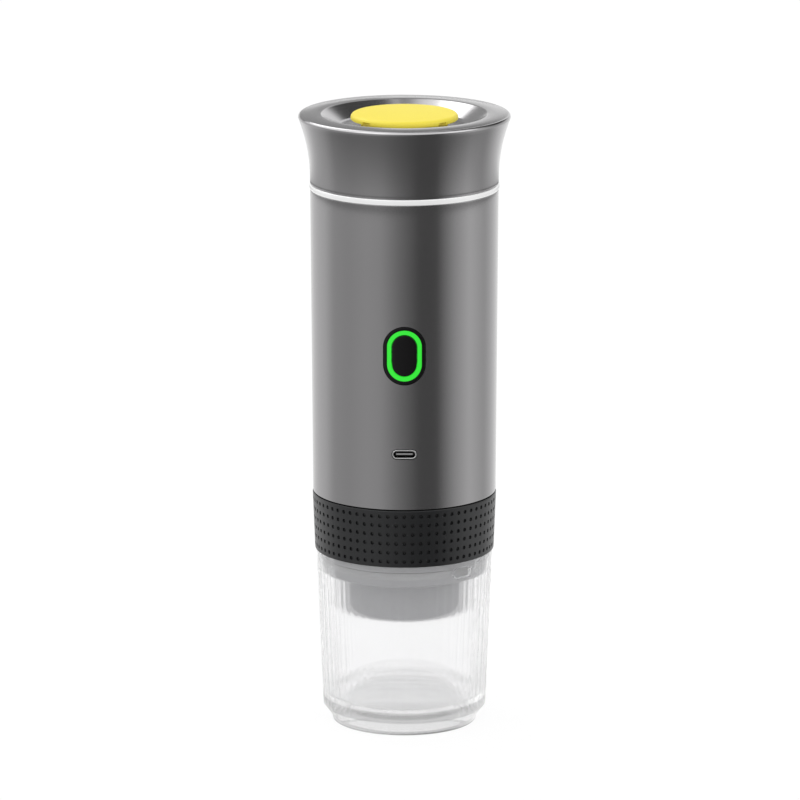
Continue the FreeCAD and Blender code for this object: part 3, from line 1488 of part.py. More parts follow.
def make_board_screws():
    """Four screws that hold the board on its posts, below the button."""
    low = shared.deck_top + size.board_margin
    body = new_body("board_screws", low)
    x = size.board_width / 2.0 - size.board_edge - size.post_width / 2.0
    under_button = shared.button_level - size.bezel_height / 2.0 - size.board_screw_edge - low
    heads = new_sketch(body, "board_screw_outline", spot=(0.0, 0.0, shared.board_front))
    for rise in (size.board_screw_edge, under_button):
        for place in (x, -x):
            draw_circle(heads, place, rise, size.board_screw_head)
    pad(body, "board_screw_heads", heads, size.board_screw_height)
    return body


def make_port_group():
    """The charging socket that stands on the board, and the tongue inside it."""
    front = shared.front_at_port - size.port_recess
    metal = size.port_wall * 2.0
    opening = (size.port_width, size.port_tall)
    outside = (size.port_width + metal, size.port_tall + metal)
    socket = oval_tube("usb_socket", shared.port_level, shared.board_front, front, outside, opening)
    play = size.seat_clearance
    tongue = new_body("usb_tongue", shared.port_level)
    root = new_sketch(tongue, "root_outline", spot=(0.0, 0.0, shared.board_front))
    draw_oval(root, size.port_width - play, size.port_tall - play)
    pad(tongue, "root", root, size.tongue_root)
    blade = new_sketch(tongue, "blade_outline", spot=(0.0, 0.0, shared.board_front))
    half = size.tongue_width / 2.0
    thin = size.tongue_thickness / 2.0
    draw_box(blade, -half, -thin, half, thin)
    pad(tongue, "blade", blade, front - shared.board_front - size.tongue_recess)
    return [socket, tongue]


def make_lid_shell():
    """The flared metal lid: concave flare, rounded rim and a dish round the plug's boss."""
    base = shared.shell_top_radius
    height = size.lid_height
    flare_top = height - size.lip_round - size.lip_height
    flare_edge = shared.rim_radius - size.edge_break / 2.0
    rise = flare_top - size.lid_wall
    spread = flare_edge - base
    flare = (rise * rise + spread * spread) / (spread * 2.0)
    dish_edge = shared.rim_radius - size.rim_width
    dish_foot = dish_edge - size.dish_slope
    floor = height - size.dish_depth
    seat = shared.liner_top - shared.lid_base
    seal_room = seat + size.vent_seal_height + size.seat_clearance
    recess = shared.plug_hole + size.vent_seal_width + size.slide_clearance
    boss = recess + size.boss_rim
    inside = flare_edge - size.lid_wall
    return turned("lid_shell", shared.lid_base, [
        (base, 0.0),
        (base, size.lid_wall, flare, -1),
        (flare_edge, flare_top),
        (shared.rim_radius, flare_top + size.edge_break / 2.0),
        (shared.rim_radius, height - size.lip_round, size.lip_round, 1),
        (shared.rim_radius - size.lip_inset, height),
        (dish_edge, height),
        (dish_foot, floor),
        (shared.plug_hole, floor),
        (shared.plug_hole, seal_room),
        (recess, seal_room),
        (recess, seat),
        (boss, seat),
        (boss, floor - size.lid_wall),
        (dish_foot + size.edge_break, floor - size.lid_wall),
        (dish_edge + size.edge_break, height - size.lid_wall),
        (inside - size.edge_break, height - size.lid_wall),
        (inside, flare_top, flare + size.lid_wall, 1),
        (base - size.lid_wall, size.lid_wall),
        (base - size.lid_wall, 0.0),
    ])


def make_lid_liner():
    """The liner inside the lid: thread skirt round the neck and a plate over the mouth."""
    top = shared.liner_top - shared.lid_base
    ceiling = top - size.liner_plate
    return turned("lid_liner", shared.lid_base, [
        (shared.liner_bore, size.slide_clearance),
        (shared.liner_radius, size.slide_clearance),
        (shared.liner_radius, top),
        (shared.plug_hole, top),
        (shared.plug_hole, ceiling),
        (shared.liner_bore, ceiling),
    ])


def make_lid_seals():
    """The flat ring on the tank's lip, and the ring round the plug's stem."""
    bore = shared.tank_radius - size.tank_wall + size.slide_clearance
    edge = shared.neck_radius - size.edge_break
    stem = shared.plug_hole + size.seat_clearance / 2.0
    outside = shared.plug_hole + size.vent_seal_width
    return [
        ring("lid_seal", shared.tank_top, bore, edge, size.lid_seal_height),
        ring("vent_seal", shared.liner_top, stem, outside, size.vent_seal_height),
    ]


def make_vent_plug():
    """The filler plug: a rounded head with finger notches on a hollow stem."""
    top = size.dish_depth + size.plug_stand
    stand = top - size.plug_head
    stem_base = shared.liner_top - size.liner_plate + size.slide_clearance - shared.lid_floor
    hollow = size.plug_stem - size.stem_wall
    edge = size.plug_radius - size.plug_round
    body = turned("vent_plug", shared.lid_floor, [
        (0.0, top),
        (0.0, stand - size.stem_wall),
        (hollow, stand - size.stem_wall),
        (hollow, stem_base),
        (size.plug_stem - size.lead_in, stem_base),
        (size.plug_stem, stem_base + size.lead_in),
        (size.plug_stem, 0.0),
        (size.plug_stem + size.plug_step, 0.0),
        (size.plug_stem + size.plug_step, stand),
        (size.plug_radius - size.lead_in, stand),
        (size.plug_radius, stand + size.lead_in),
        (size.plug_radius, top - size.plug_round, size.plug_round, 1),
        (edge, top),
    ])
    place = polar(size.plug_radius + size.edge_break, NOTCH_ANGLE)
    depth = size.plug_head
    ring_of_holes(body, "notch", place, size.notch_radius, stand, depth, size.notch_count)
    return body


def build_all():
    """Build every sub-part, from the cup up to the lid."""
    work_out_outline()
    work_out_brew_unit()
    work_out_frame()
    work_out_upper_part()
    parts = [make_cup(), make_grip_ring(), make_brew_collar(), make_cup_ring(), make_brew_gasket()]
    parts += [make_capsule_holder(), make_foil_plate(), make_outlet_spout()]
    parts += [make_capsule_cage(), make_cage_seal(), make_needle_plate(), make_piercing_needles()]
    parts += [make_head_gasket(), make_cage_clamp(), make_brew_head()]
    parts += make_both_sets_of_screws()
    parts += [make_bottom_frame(), make_inner_frame()]
    parts += make_battery_cells()
    parts += [make_battery_tabs(), make_pump_motor(), make_motor_rotor(), make_pump_head()]
    parts += make_hoses()
    parts += make_heater()
    parts += [make_tank_liner(), make_tank_outlet(), make_tank_filter(), make_tank_insulation()]
    parts += [make_tank_collar(), make_trim_ring(), make_body_shell()]
    parts += make_button_group()
    parts += [make_tact_switch(), make_control_board(), make_board_screws()]
    parts += make_port_group()
    parts += [make_lid_shell(), make_lid_liner()]
    parts += make_lid_seals()
    parts.append(make_vent_plug())
    DOCUMENT.recompute()
    return parts


def check(parts):
    """Stop before anything is written if an object failed or a shape isn't sound."""
    faults = []
    for item in DOCUMENT.Objects:
        if any(word in ("Invalid", "Error") for word in item.State):
            faults.append(f"{item.Label}: {item.State}")
    for part in parts:
        if part.Shape.isNull() or not part.Shape.isValid() or part.Shape.Volume <= 0.0:
            faults.append(f"{part.Label}: no sound solid")
    if faults:
        raise RuntimeError("; ".join(faults))


def export(parts):
    """Write each sub-part to its own file."""
    os.makedirs("parts", exist_ok=True)
    for part in parts:
        part.Shape.exportStep(f"parts/{part.Label}.step")
        print(f"{part.Label}: {len(part.Shape.Solids)} solid, {part.Shape.Volume:.1f} mm3")


PARTS = build_all()
check(PARTS)
export(PARTS)
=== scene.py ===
import json
import logging
import math
from dataclasses import dataclass
from enum import Enum, StrEnum, auto
from typing import Callable, Iterable, Sequence

import bmesh
import bpy
from mathutils import Matrix, Vector


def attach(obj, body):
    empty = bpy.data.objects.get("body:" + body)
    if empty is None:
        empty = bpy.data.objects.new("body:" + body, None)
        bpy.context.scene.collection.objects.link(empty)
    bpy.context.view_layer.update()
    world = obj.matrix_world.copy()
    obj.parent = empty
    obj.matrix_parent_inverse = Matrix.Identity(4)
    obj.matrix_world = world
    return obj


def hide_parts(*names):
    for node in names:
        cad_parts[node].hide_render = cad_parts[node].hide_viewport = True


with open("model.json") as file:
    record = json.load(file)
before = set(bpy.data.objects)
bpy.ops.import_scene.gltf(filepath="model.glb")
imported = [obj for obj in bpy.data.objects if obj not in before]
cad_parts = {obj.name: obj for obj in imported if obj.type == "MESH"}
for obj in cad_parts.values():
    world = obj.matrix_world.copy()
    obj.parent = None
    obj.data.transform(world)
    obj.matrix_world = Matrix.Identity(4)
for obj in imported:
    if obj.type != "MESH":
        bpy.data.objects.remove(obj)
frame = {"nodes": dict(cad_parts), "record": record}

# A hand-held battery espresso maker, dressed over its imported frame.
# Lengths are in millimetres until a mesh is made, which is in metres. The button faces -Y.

LOG = logging.getLogger("coffee_maker")
MM = 0.001
FULL_TURN = math.tau
WHITE = (1.0, 1.0, 1.0, 1.0)
Socket = bpy.types.NodeSocket
Node = bpy.types.Node
Piece = bpy.types.Object
Mesh = bmesh.types.BMesh
Vert = bmesh.types.BMVert
Edge = bmesh.types.BMEdge
Face = bmesh.types.BMFace
Colour = tuple[float, float, float]
Point = tuple[float, float]
Opening = tuple[float, float, float]

# Distances in metres under which two points are the same one, and a point lies on a ring.
SAME_SPOT = 1e-7
ON_RING = 2e-6


class Slot(StrEnum):
    """The record's material slots."""

    FROSTED_CUP = auto()
    BLACK_RUBBER = auto()
    GREY_PLASTIC = auto()
    DARK_PLASTIC = auto()
    WHITE_SILICONE = auto()
    STEEL = auto()
    PORT_STEEL = auto()
    NICKEL = auto()
    ROTOR_IRON = auto()
    CELL_WRAP = auto()
    SENSOR_CASE = auto()
    BOARD_GREEN = auto()
    FOAM = auto()
    BRIGHT_TRIM = auto()
    GRAPHITE_PAINT = auto()
    BLACK_GLOSS = auto()
    GREEN_LIGHT = auto()
    YELLOW_PLUG = auto()


class Grain(Enum):
    """The texture that varies a finish."""

    NOISE = auto()
    CELLS = auto()
    TURNED = auto()


class NodeTree:
    """A material's or a world's nodes, with short calls to add and join them."""

    def __init__(self, owner: bpy.types.Material | bpy.types.World) -> None:
        """Clear the owner's nodes.

        Args:
            owner: The material or world whose nodes are made anew.
        """
        owner.use_nodes = True
        self.tree = owner.node_tree
        self.tree.nodes.clear()

    def add(self, kind: str, **settings: object) -> Node:
        """Add a node.

        Args:
            kind: The node's type name without its Shader prefix.
            settings: Its properties, and what its inputs follow or hold, by name.

        Returns:
            The new node.
        """
        node = self.tree.nodes.new("ShaderNode" + kind)
        for name, value in settings.items():
            if name.islower() and hasattr(node, name):
                setattr(node, name, value)
            else:
                self.join(value, node.inputs[name.replace("_", " ")])
        return node

    def join(self, source: object, target: Socket) -> None:
        """Feed an input.

        Args:
            source: An output that it follows, or a fixed value.
            target: The input.
        """
        if isinstance(source, Socket):
            self.tree.links.new(source, target)
        else:
            target.default_value = source

    def math(self, operation: str, *values: object) -> Socket:
        """Work out a number.

        Args:
            operation: The operation's name.
            values: Numbers or outputs.

        Returns:
            The result's output.
        """
        node = self.add("Math", operation=operation)
        for index, value in enumerate(values):
            self.join(value, node.inputs[index])
        return node.outputs["Value"]

    def vector(self, operation: str, *values: object) -> Socket:
        """Work out a vector, or a vector's length.

        Args:
            operation: The operation's name.
            values: Vectors or outputs; for SCALE a vector and a number.

        Returns:
            The result's output.
        """
        node = self.add("VectorMath", operation=operation)
        places = (0, "Scale") if operation == "SCALE" else range(len(values))
        for place, value in zip(places, values):
            self.join(value, node.inputs[place])
        return node.outputs["Value" if operation == "LENGTH" else "Vector"]

    def axes(self, place: Socket) -> bpy.types.bpy_prop_collection:
        """Split a place into its X, Y and Z outputs."""
        return self.add("SeparateXYZ", Vector=place).outputs

    def ramp(self, source: Socket, stops: Sequence[tuple[float, Colour]]) -> Socket:
        """Map a value to colours.

        Args:
            source: The value.
            stops: Positions from 0 to 1, each with its colour.

        Returns:
            The colour output.
        """
        node = self.add("ValToRGB", Fac=source)
        elements = node.color_ramp.elements
        elements[0].position, elements[-1].position = stops[0][0], stops[-1][0]
        elements[0].color, elements[-1].color = (*stops[0][1], 1.0), (*stops[-1][1], 1.0)
        for position, colour in stops[1:-1]:
            elements.new(position).color = (*colour, 1.0)
        return node.outputs["Color"]

    def ease(self, value: Socket, span: Point, results: Point) -> Socket:
        """Ease from one result to another.

        Args:
            value: The value that decides.
            span: Values at which the change starts and ends.
            results: Results at the start and the end.

        Returns:
            The result's output.
        """
        node = self.add("MapRange", interpolation_type="SMOOTHSTEP", Value=value, From_Min=span[0],
                        From_Max=span[1], To_Min=results[0], To_Max=results[1])
        return node.outputs["Result"]

    def blend(self, share: object, first: Node, second: Node) -> Node:
        """Mix two shaders.

        Args:
            share: How much of the second one shows.
            first: The first shader.
            second: The second shader.

        Returns:
            The mixed shader.
        """
        node = self.add("MixShader", Fac=share)
        self.join(first.outputs[0], node.inputs[1])
        self.join(second.outputs[0], node.inputs[2])
        return node

    def show(self, shader: Node, output: str = "OutputMaterial") -> None:
        """End the tree with a shader as the surface."""
        self.add(output, Surface=shader.outputs[0])


@dataclass(frozen=True)
class Finish:
    """A surface: its colour, its gloss and the fine grain that varies both.

    The colour is linear. The spread is how far the grain varies shade and roughness, the relief
    is the height of its bump, and the tones are its values at the darkest and lightest shade.
    """

    slot: Slot
    colour: Colour
    metallic: float = 0.0
    roughness: float = 0.5
    spread: float = 0.08
    grain: Grain = Grain.NOISE
    grain_size: float = 0.6
    relief: float = 0.01
    coat: float = 0.0
    sheen: float = 0.0
    subsurface: float = 0.0
    specular: float = 0.5
    bump: float = 0.6
    coat_roughness: float = 0.12
    sheen_roughness: float = 0.5
    scatter_depth: float = 1.5
    scatter: Colour = (1.0, 0.9, 0.85)
    tones: Point = (0.25, 0.75)
    detail: float = 4.0
    breakup: float = 0.6
    least_rough: float = 0.02

    def material(self) -> bpy.types.Material:
        """Make the finish's material, or find it again.

        Returns:
            The material.
        """
        name = f"{self.slot.value}_finish"
        made = bpy.data.materials.get(name)
        if made is None:
            made = bpy.data.materials.new(name)
            self.draw(NodeTree(made))
        return made

    def draw(self, nodes: NodeTree) -> None:
        """Draw the material.

        Args:
            nodes: The empty tree.
        """
        shader = self.shader(nodes)
        grain = self.pattern(nodes)
        nodes.join(self.shade(nodes, grain), shader.inputs["Base Color"])
        gloss = nodes.add("MapRange", Value=grain, To_Max=min(1.0, self.roughness + self.spread),
                          To_Min=max(self.least_rough, self.roughness - self.spread))
        nodes.join(gloss.outputs["Result"], shader.inputs["Roughness"])
        if self.relief > 0.0:
            self.emboss(nodes, grain, shader)
        nodes.show(shader)

    def emboss(self, nodes: NodeTree, grain: Socket, shader: Node) -> None:
        """Let the grain raise the surface."""
        bump = nodes.add("Bump", Strength=self.bump, Distance=self.relief * MM, Height=grain)
        nodes.join(bump.outputs["Normal"], shader.inputs["Normal"])

    def shader(self, nodes: NodeTree) -> Node:
        """Add the surface shader with the values that don't vary.

        Args:
            nodes: The tree.

        Returns:
            The shader.
        """
        return nodes.add("BsdfPrincipled", Metallic=self.metallic, Coat_Weight=self.coat,
                         Coat_Roughness=self.coat_roughness, Sheen_Weight=self.sheen,
                         Sheen_Roughness=self.sheen_roughness, Subsurface_Weight=self.subsurface,
                         Subsurface_Scale=self.scatter_depth * MM, Subsurface_Radius=self.scatter,
                         Specular_IOR_Level=self.specular)

    def pattern(self, nodes: NodeTree) -> Socket:
        """Add the grain on the object's own coordinates.

        Args:
            nodes: The tree.

        Returns:
            Its output, from 0 to 1.
        """
        place = nodes.add("TexCoord").outputs["Object"]
        scale = 1.0 / (self.grain_size * MM)
        if self.grain is Grain.CELLS:
            return nodes.add("TexVoronoi", Vector=place, Scale=scale).outputs["Distance"]
        if self.grain is Grain.TURNED:
            place = self.turned_place(nodes, place)
        noise = nodes.add("TexNoise", Vector=place, Scale=scale, Detail=self.detail, Roughness=self.breakup)
        return noise.outputs["Fac"]

    @staticmethod
    def turned_place(nodes: NodeTree, place: Socket) -> Socket:
        """Turn a place into distance from the axis and height, for marks left by a lathe.

        Args:
            nodes: The tree.
            place: The place.

        Returns:
            The new place.
        """
        across, along, up = nodes.axes(place)
        across, along = (nodes.math("POWER", side, 2.0) for side in (across, along))
        away = nodes.math("SQRT", nodes.math("ADD", across, along))
        return nodes.add("CombineXYZ", X=away, Z=up).outputs["Vector"]

    def shade(self, nodes: NodeTree, grain: Socket) -> Socket:
        """Vary the colour a little.

        Args:
            nodes: The tree.
            grain: The grain's output.

        Returns:
            The colour output.
        """
        dark = tuple(channel * (1.0 - self.spread) for channel in self.colour)
        light = tuple(min(1.0, channel * (1.0 + self.spread)) for channel in self.colour)
        return nodes.ramp(grain, tuple(zip(self.tones, (dark, light))))


@dataclass(frozen=True)
class FrostedFinish(Finish):
    """Frosted clear plastic that lets light and shapes through.

    Its clarity is the share of light that passes straight, and its haze the share that spreads on
    the way. Painted shade darkens the colour between two levels where the wall runs into the thick
    base, and a painted contact shadow darkens the foot's lower edge.
    """

    clarity: float = 0.34
    haze: float = 0.94
    ior: float = 1.14
    bump: float = 0.4
    # Painted shade: the thick base's levels and the tone there; painted contact shadow: the levels of the
    # foot's lower edge and the tone there; then how softly the shade fades in.
    base: Point = (5.4, 9.7)
    base_shade_tone: float = 0.36
    edge: Point = (0.5, 0.9)
    foot_shadow_tone: float = 0.25
    fade: float = 0.4

    def draw(self, nodes: NodeTree) -> None:
        """Draw frosted plastic as a blend of see-through, spread and surface light.

        Args:
            nodes: The empty tree.
        """
        grain = self.pattern(nodes)
        shader = self.shader(nodes)
        # The colour gets painted shade at the thick base and a painted contact shadow at the foot's edge.
        nodes.join(self.paint_shade_at_base(nodes, self.shade(nodes, grain)), shader.inputs["Base Color"])
        for name, value in (("Roughness", self.roughness), ("Transmission Weight", self.haze),
                            ("IOR", self.ior)):
            nodes.join(value, shader.inputs[name])
        self.emboss(nodes, grain, shader)
        nodes.show(nodes.blend(self.clarity, shader, nodes.add("BsdfTransparent")))

    def paint_shade_at_base(self, nodes: NodeTree, colour: Socket) -> Socket:
        """Paint shade where the wall runs into the thick base, and a contact shadow at the foot's lower
        edge.

        Args:
            nodes: The tree.
            colour: The plain colour.

        Returns:
            The colour output.
        """
        level = nodes.axes(nodes.add("TexCoord").outputs["Object"])["Z"]
        middle = sum(self.base) / 2.0
        reach = (self.base[1] - self.base[0]) / 2.0
        away = nodes.math("ABSOLUTE", nodes.math("SUBTRACT", level, middle * MM))
        # Painted shade between the thick base's levels.
        base_shade = nodes.ease(away, ((reach - self.fade) * MM, (reach + self.fade) * MM), (self.base_shade_tone, 1.0))
        # Painted contact shadow along the foot's lower edge.
        edge = nodes.ease(level, (self.edge[0] * MM, self.edge[1] * MM), (self.foot_shadow_tone, 1.0))
        return nodes.vector("SCALE", colour, nodes.math("MULTIPLY", base_shade, edge))


@dataclass(frozen=True)
class LitFinish(Finish):
    """A light guide that glows."""

    glow: Colour = (0.02, 0.62, 0.025)
    strength: float = 1.0

    def shader(self, nodes: NodeTree) -> Node:
        """Add the surface shader with its glow.

        Args:
            nodes: The tree.

        Returns:
            The shader.
        """
        shader = super().shader(nodes)
        nodes.join((*self.glow, 1.0), shader.inputs["Emission Color"])
        nodes.join(self.strength, shader.inputs["Emission Strength"])
        return shader


@dataclass(frozen=True)
class BoardFinish(Finish):
    """Green solder mask with copper traces that shine through it."""

    trace: Colour = (0.06, 0.33, 0.16)
    pitch: float = 1.6
    width: float = 0.03
    rows_per_unit: float = 4.0

    def shade(self, nodes: NodeTree, grain: Socket) -> Socket:
        """Colour the mask lighter where a trace runs.

        Args:
            nodes: The tree.
            grain: The grain's output, which the board doesn't use.

        Returns:
            The colour output.
        """
        mask = (*self.colour, 1.0)
        turn = nodes.add("Mapping", Rotation=(math.radians(90.0), 0.0, 0.0),
                         Vector=nodes.add("TexCoord").outputs["Object"])
        bricks = nodes.add("TexBrick", Scale=1.0 / (self.pitch * MM * self.rows_per_unit), Color1=mask,
                           Color2=mask, Mortar=(*self.trace, 1.0), Mortar_Size=self.width,
                           Vector=turn.outputs["Vector"])
        return bricks.outputs["Color"]


FINISHES: dict[Slot, Finish] = {finish.slot: finish for finish in (
    FrostedFinish(Slot.FROSTED_CUP, (0.985, 0.985, 0.99), roughness=0.11, spread=0.01, grain_size=1.2,
                  coat=0.8),
    Finish(Slot.BLACK_RUBBER, (0.0085, 0.009, 0.010), roughness=0.37, grain_size=0.25, relief=0.012,
           sheen=0.02),
    Finish(Slot.GREY_PLASTIC, (0.35, 0.35, 0.36), roughness=0.45, grain_size=0.3),
    Finish(Slot.DARK_PLASTIC, (0.035, 0.035, 0.038), roughness=0.42, grain_size=0.3),
    Finish(Slot.WHITE_SILICONE, (0.38, 0.38, 0.385), roughness=0.55, grain_size=0.5, subsurface=0.25),
    Finish(Slot.STEEL, (0.60, 0.60, 0.59), metallic=1.0, roughness=0.28, spread=0.12,
           grain=Grain.TURNED, grain_size=0.35, relief=0.004),
    Finish(Slot.PORT_STEEL, (0.78, 0.78, 0.78), metallic=1.0, roughness=0.18, spread=0.05,
           grain_size=0.2, relief=0.002),
    Finish(Slot.NICKEL, (0.62, 0.59, 0.53), metallic=1.0, roughness=0.3, grain_size=0.4),
    Finish(Slot.ROTOR_IRON, (0.16, 0.16, 0.17), metallic=0.9, roughness=0.42, grain=Grain.TURNED,
           grain_size=0.5, relief=0.03),
    Finish(Slot.CELL_WRAP, (0.03, 0.12, 0.38), roughness=0.3, grain_size=2.0, coat=0.4),
    Finish(Slot.SENSOR_CASE, (0.02, 0.02, 0.02), roughness=0.5, grain_size=0.2),
    BoardFinish(Slot.BOARD_GREEN, (0.02, 0.17, 0.07), roughness=0.32, grain_size=0.4, coat=0.3),
    Finish(Slot.FOAM, (0.34, 0.34, 0.33), roughness=0.9, spread=0.1, grain=Grain.CELLS,
           grain_size=0.6, relief=0.15),
    Finish(Slot.BRIGHT_TRIM, (0.97, 0.97, 0.97), metallic=0.15, roughness=0.22, spread=0.02,
           grain=Grain.TURNED, grain_size=0.3, relief=0.001),
    Finish(Slot.GRAPHITE_PAINT, (0.36, 0.355, 0.36), metallic=1.0, roughness=0.19, spread=0.03,
           grain_size=0.12, relief=0.0006),
    Finish(Slot.BLACK_GLOSS, (0.005, 0.0045, 0.005), roughness=0.2, spread=0.04, grain_size=1.5,
           relief=0.0005, specular=0.25),
    LitFinish(Slot.GREEN_LIGHT, (0.01, 0.22, 0.012), roughness=0.35, grain_size=1.0, relief=0.0),
    Finish(Slot.YELLOW_PLUG, (0.98, 0.80, 0.065), roughness=0.5, spread=0.05, grain_size=0.4,
           relief=0.006, subsurface=0.1),
)}


class Section:
    """A section in the plane of x and z that is turned about the upright axis."""

    def __init__(self, radius: float, height: float) -> None:
        """Start the section at a radius and a height."""
        self.mesh = bmesh.new()
        self.first = self.last = self.mesh.verts.new((radius * MM, 0.0, height * MM))

    def to(self, *points: Point) -> None:
        """Run straight on through points.

        Args:
            points: Radius and height of each point.
        """
        for radius, height in points:
            vertex = self.mesh.verts.new((radius * MM, 0.0, height * MM))
            self.mesh.edges.new((self.last, vertex))
            self.last = vertex

    def sweep(self, centre: Point, degrees: float, steps: int) -> None:
        """Run on along an arc.

        Args:
            centre: Radius and height of the arc's centre.
            degrees: Angle of the arc; a positive one lifts a point that is inside its centre.
            steps: Straight parts of the arc.
        """
        made = bmesh.ops.spin(self.mesh, geom=[self.last], cent=(centre[0] * MM, 0.0, centre[1] * MM),
                              axis=(0.0, 1.0, 0.0), angle=math.radians(degrees), steps=steps)
        self.last = next(item for item in made["geom_last"] if isinstance(item, Vert))

    def turn(self, steps: int = 256, closed: bool = True) -> Mesh:
        """Turn the section into a solid.

        Args:
            steps: Parts of the full turn.
            closed: Whether the last point is joined to the first; a section on the axis isn't.

        Returns:
            The mesh, with its faces outwards.
        """
        if closed:
            self.mesh.edges.new((self.last, self.first))
        bmesh.ops.spin(self.mesh, geom=self.mesh.verts[:] + self.mesh.edges[:], cent=(0.0, 0.0, 0.0),
                       axis=(0.0, 0.0, 1.0), angle=FULL_TURN, steps=steps, use_merge=True)
        bmesh.ops.remove_doubles(self.mesh, verts=self.mesh.verts[:], dist=SAME_SPOT)
        bmesh.ops.recalc_face_normals(self.mesh, faces=self.mesh.faces[:])
        return self.mesh


def ring_edges(mesh: Mesh, radius: float, height: float) -> list[Edge]:
    """Find the edges of a turned mesh that run round it.

    Args:
        mesh: The mesh.
        radius: Their distance from the axis.
        height: Their height.

    Returns:
        The edges.
    """
    def on_ring(vertex: Vert) -> bool:
        """Tell whether a vertex lies on the ring."""
        reach = math.hypot(vertex.co.x, vertex.co.y)
        return abs(reach - radius * MM) < ON_RING and abs(vertex.co.z - height * MM) < ON_RING

    return [edge for edge in mesh.edges if all(on_ring(vertex) for vertex in edge.verts)]


def soften(mesh: Mesh, edges: list[Edge], width: float, segments: int = 3) -> None:
    """Round edges over to a width in millimetres."""
    bmesh.ops.bevel(mesh, geom=edges, offset=width * MM, offset_type="OFFSET", segments=segments,
                    profile=0.5, affect="EDGES", material=-1, clamp_overlap=True)


def oval(mesh: Mesh, width: float, height: float, segments: int = 72) -> Face:
    """Add an oval face that looks towards -Y.

    Args:
        mesh: The mesh that gets the face.
        width: Size along X.
        height: Size along Z.
        segments: Sides of the outline.

    Returns:
        The face.
    """
    small = min(width, height)
    made = bmesh.ops.create_circle(mesh, cap_ends=True, radius=small / 2.0 * MM, segments=segments,
                                   matrix=Matrix.Rotation(math.pi / segments, 4, "Z"))
    verts = made["verts"]
    stretch = Vector(((width - small) / 2.0 * MM, (height - small) / 2.0 * MM, 0.0))
    for vertex in verts:
        vertex.co.x += math.copysign(stretch.x, vertex.co.x)
        vertex.co.y += math.copysign(stretch.y, vertex.co.y)
    swing(mesh, 90.0, "X")
    return verts[0].link_faces[0]


def pull(mesh: Mesh, faces: list[Face], offset: Vector) -> list[Vert]:
    """Extrude faces and keep the far ends closed.

    Args:
        mesh: The mesh.
        faces: The faces that are pulled.
        offset: How far they go.

    Returns:
        The vertices of the pulled faces.
    """
    made = bmesh.ops.extrude_face_region(mesh, geom=faces, use_keep_orig=True)
    verts = [item for item in made["geom"] if isinstance(item, Vert)]
    bmesh.ops.translate(mesh, verts=verts, vec=offset)
    mesh.normal_update()
    return verts


def oval_tube(outer: Point, wall: float, depth: float, rounding: float,
              segments: int = 72) -> Mesh:
    """Make an oval tube, or a bar, that looks towards -Y with its front edges rounded.

    Args:
        outer: Width and height outside.
        wall: Thickness of the tube's wall, or 0 for a bar.
        depth: Length from its back at y = 0.
        rounding: Width of the rounding.
        segments: Sides of the outline.

    Returns:
        The mesh.
    """
    mesh = bmesh.new()
    face = oval(mesh, *outer, segments)
    if wall > 0.0:
        bmesh.ops.inset_region(mesh, faces=[face], thickness=wall * MM, use_boundary=True,
                               use_even_offset=True)
        bmesh.ops.delete(mesh, geom=[face], context="FACES")
    front = pull(mesh, mesh.faces[:], Vector((0.0, -depth * MM, 0.0)))

    def is_rim(edge: Edge) -> bool:
        """Tell whether an edge borders the front face and a side."""
        tilts = [abs(face.normal.y) for face in edge.link_faces]
        return len(tilts) == 2 and min(tilts) < 0.5 < max(tilts) and all(end in front for end in edge.verts)

    soften(mesh, [edge for edge in mesh.edges if is_rim(edge)], rounding)
    return mesh


def move(mesh: Mesh, x: float, y: float, z: float) -> None:
    """Move a mesh by millimetres."""
    bmesh.ops.translate(mesh, verts=mesh.verts[:], vec=(x * MM, y * MM, z * MM))


def swing(mesh: Mesh, degrees: float, axis: str = "Z") -> None:
    """Turn a mesh about an axis through the origin."""
    bmesh.ops.rotate(mesh, verts=mesh.verts[:], cent=(0.0, 0.0, 0.0),
                     matrix=Matrix.Rotation(math.radians(degrees), 3, axis))


def linked(mesh: Mesh, name: str) -> Piece:
    """Turn a mesh into an object of the scene.

    Args:
        mesh: The finished mesh, which is freed.
        name: Name of the object.

    Returns:
        The object.
    """
    data = bpy.data.meshes.new(name)
    mesh.to_mesh(data)
    mesh.free()
    piece = bpy.data.objects.new(name, data)
    bpy.context.scene.collection.objects.link(piece)
    return piece


def carve(piece: Piece, cutters: Iterable[Piece]) -> None:
    """Cut shapes out of a piece and remove the shapes.

    Args:
        piece: The piece that is cut.
        cutters: What is cut away.
    """
    cutters = list(cutters)
    for cutter in cutters:
        cut = piece.modifiers.new("cut", "BOOLEAN")
        cut.operation = "DIFFERENCE"
        cut.solver = "EXACT"
        cut.object = cutter
    bpy.context.view_layer.update()
    whole = piece.data
    graph = bpy.context.evaluated_depsgraph_get()
    piece.data = bpy.data.meshes.new_from_object(piece.evaluated_get(graph))
    piece.modifiers.clear()
    bpy.data.meshes.remove(whole)
    for cutter in cutters:
        data = cutter.data
        bpy.data.objects.remove(cutter)
        bpy.data.meshes.remove(data)


def settle(piece: Piece, body: str, slot: Slot, node: str, crease: float = 32.0) -> None:
    """Shade a piece, finish it and let it ride on its body.

    Args:
        piece: The piece, with its place in its mesh.
        body: The body that it moves with.
        slot: The slot that its finish comes from.
        node: The frame's node that it replaces.
        crease: Edges sharper than this many degrees stay crisp.
    """
    data = piece.data
    data.materials.clear()
    data.materials.append(FINISHES[slot].material())
    for polygon in data.polygons:
        polygon.use_smooth = True
        polygon.material_index = 0
    data.set_sharp_from_angle(angle=math.radians(crease))
    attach(piece, body)
    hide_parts(node)
    LOG.info("%s on %s: %d faces", piece.name, body, len(data.polygons))


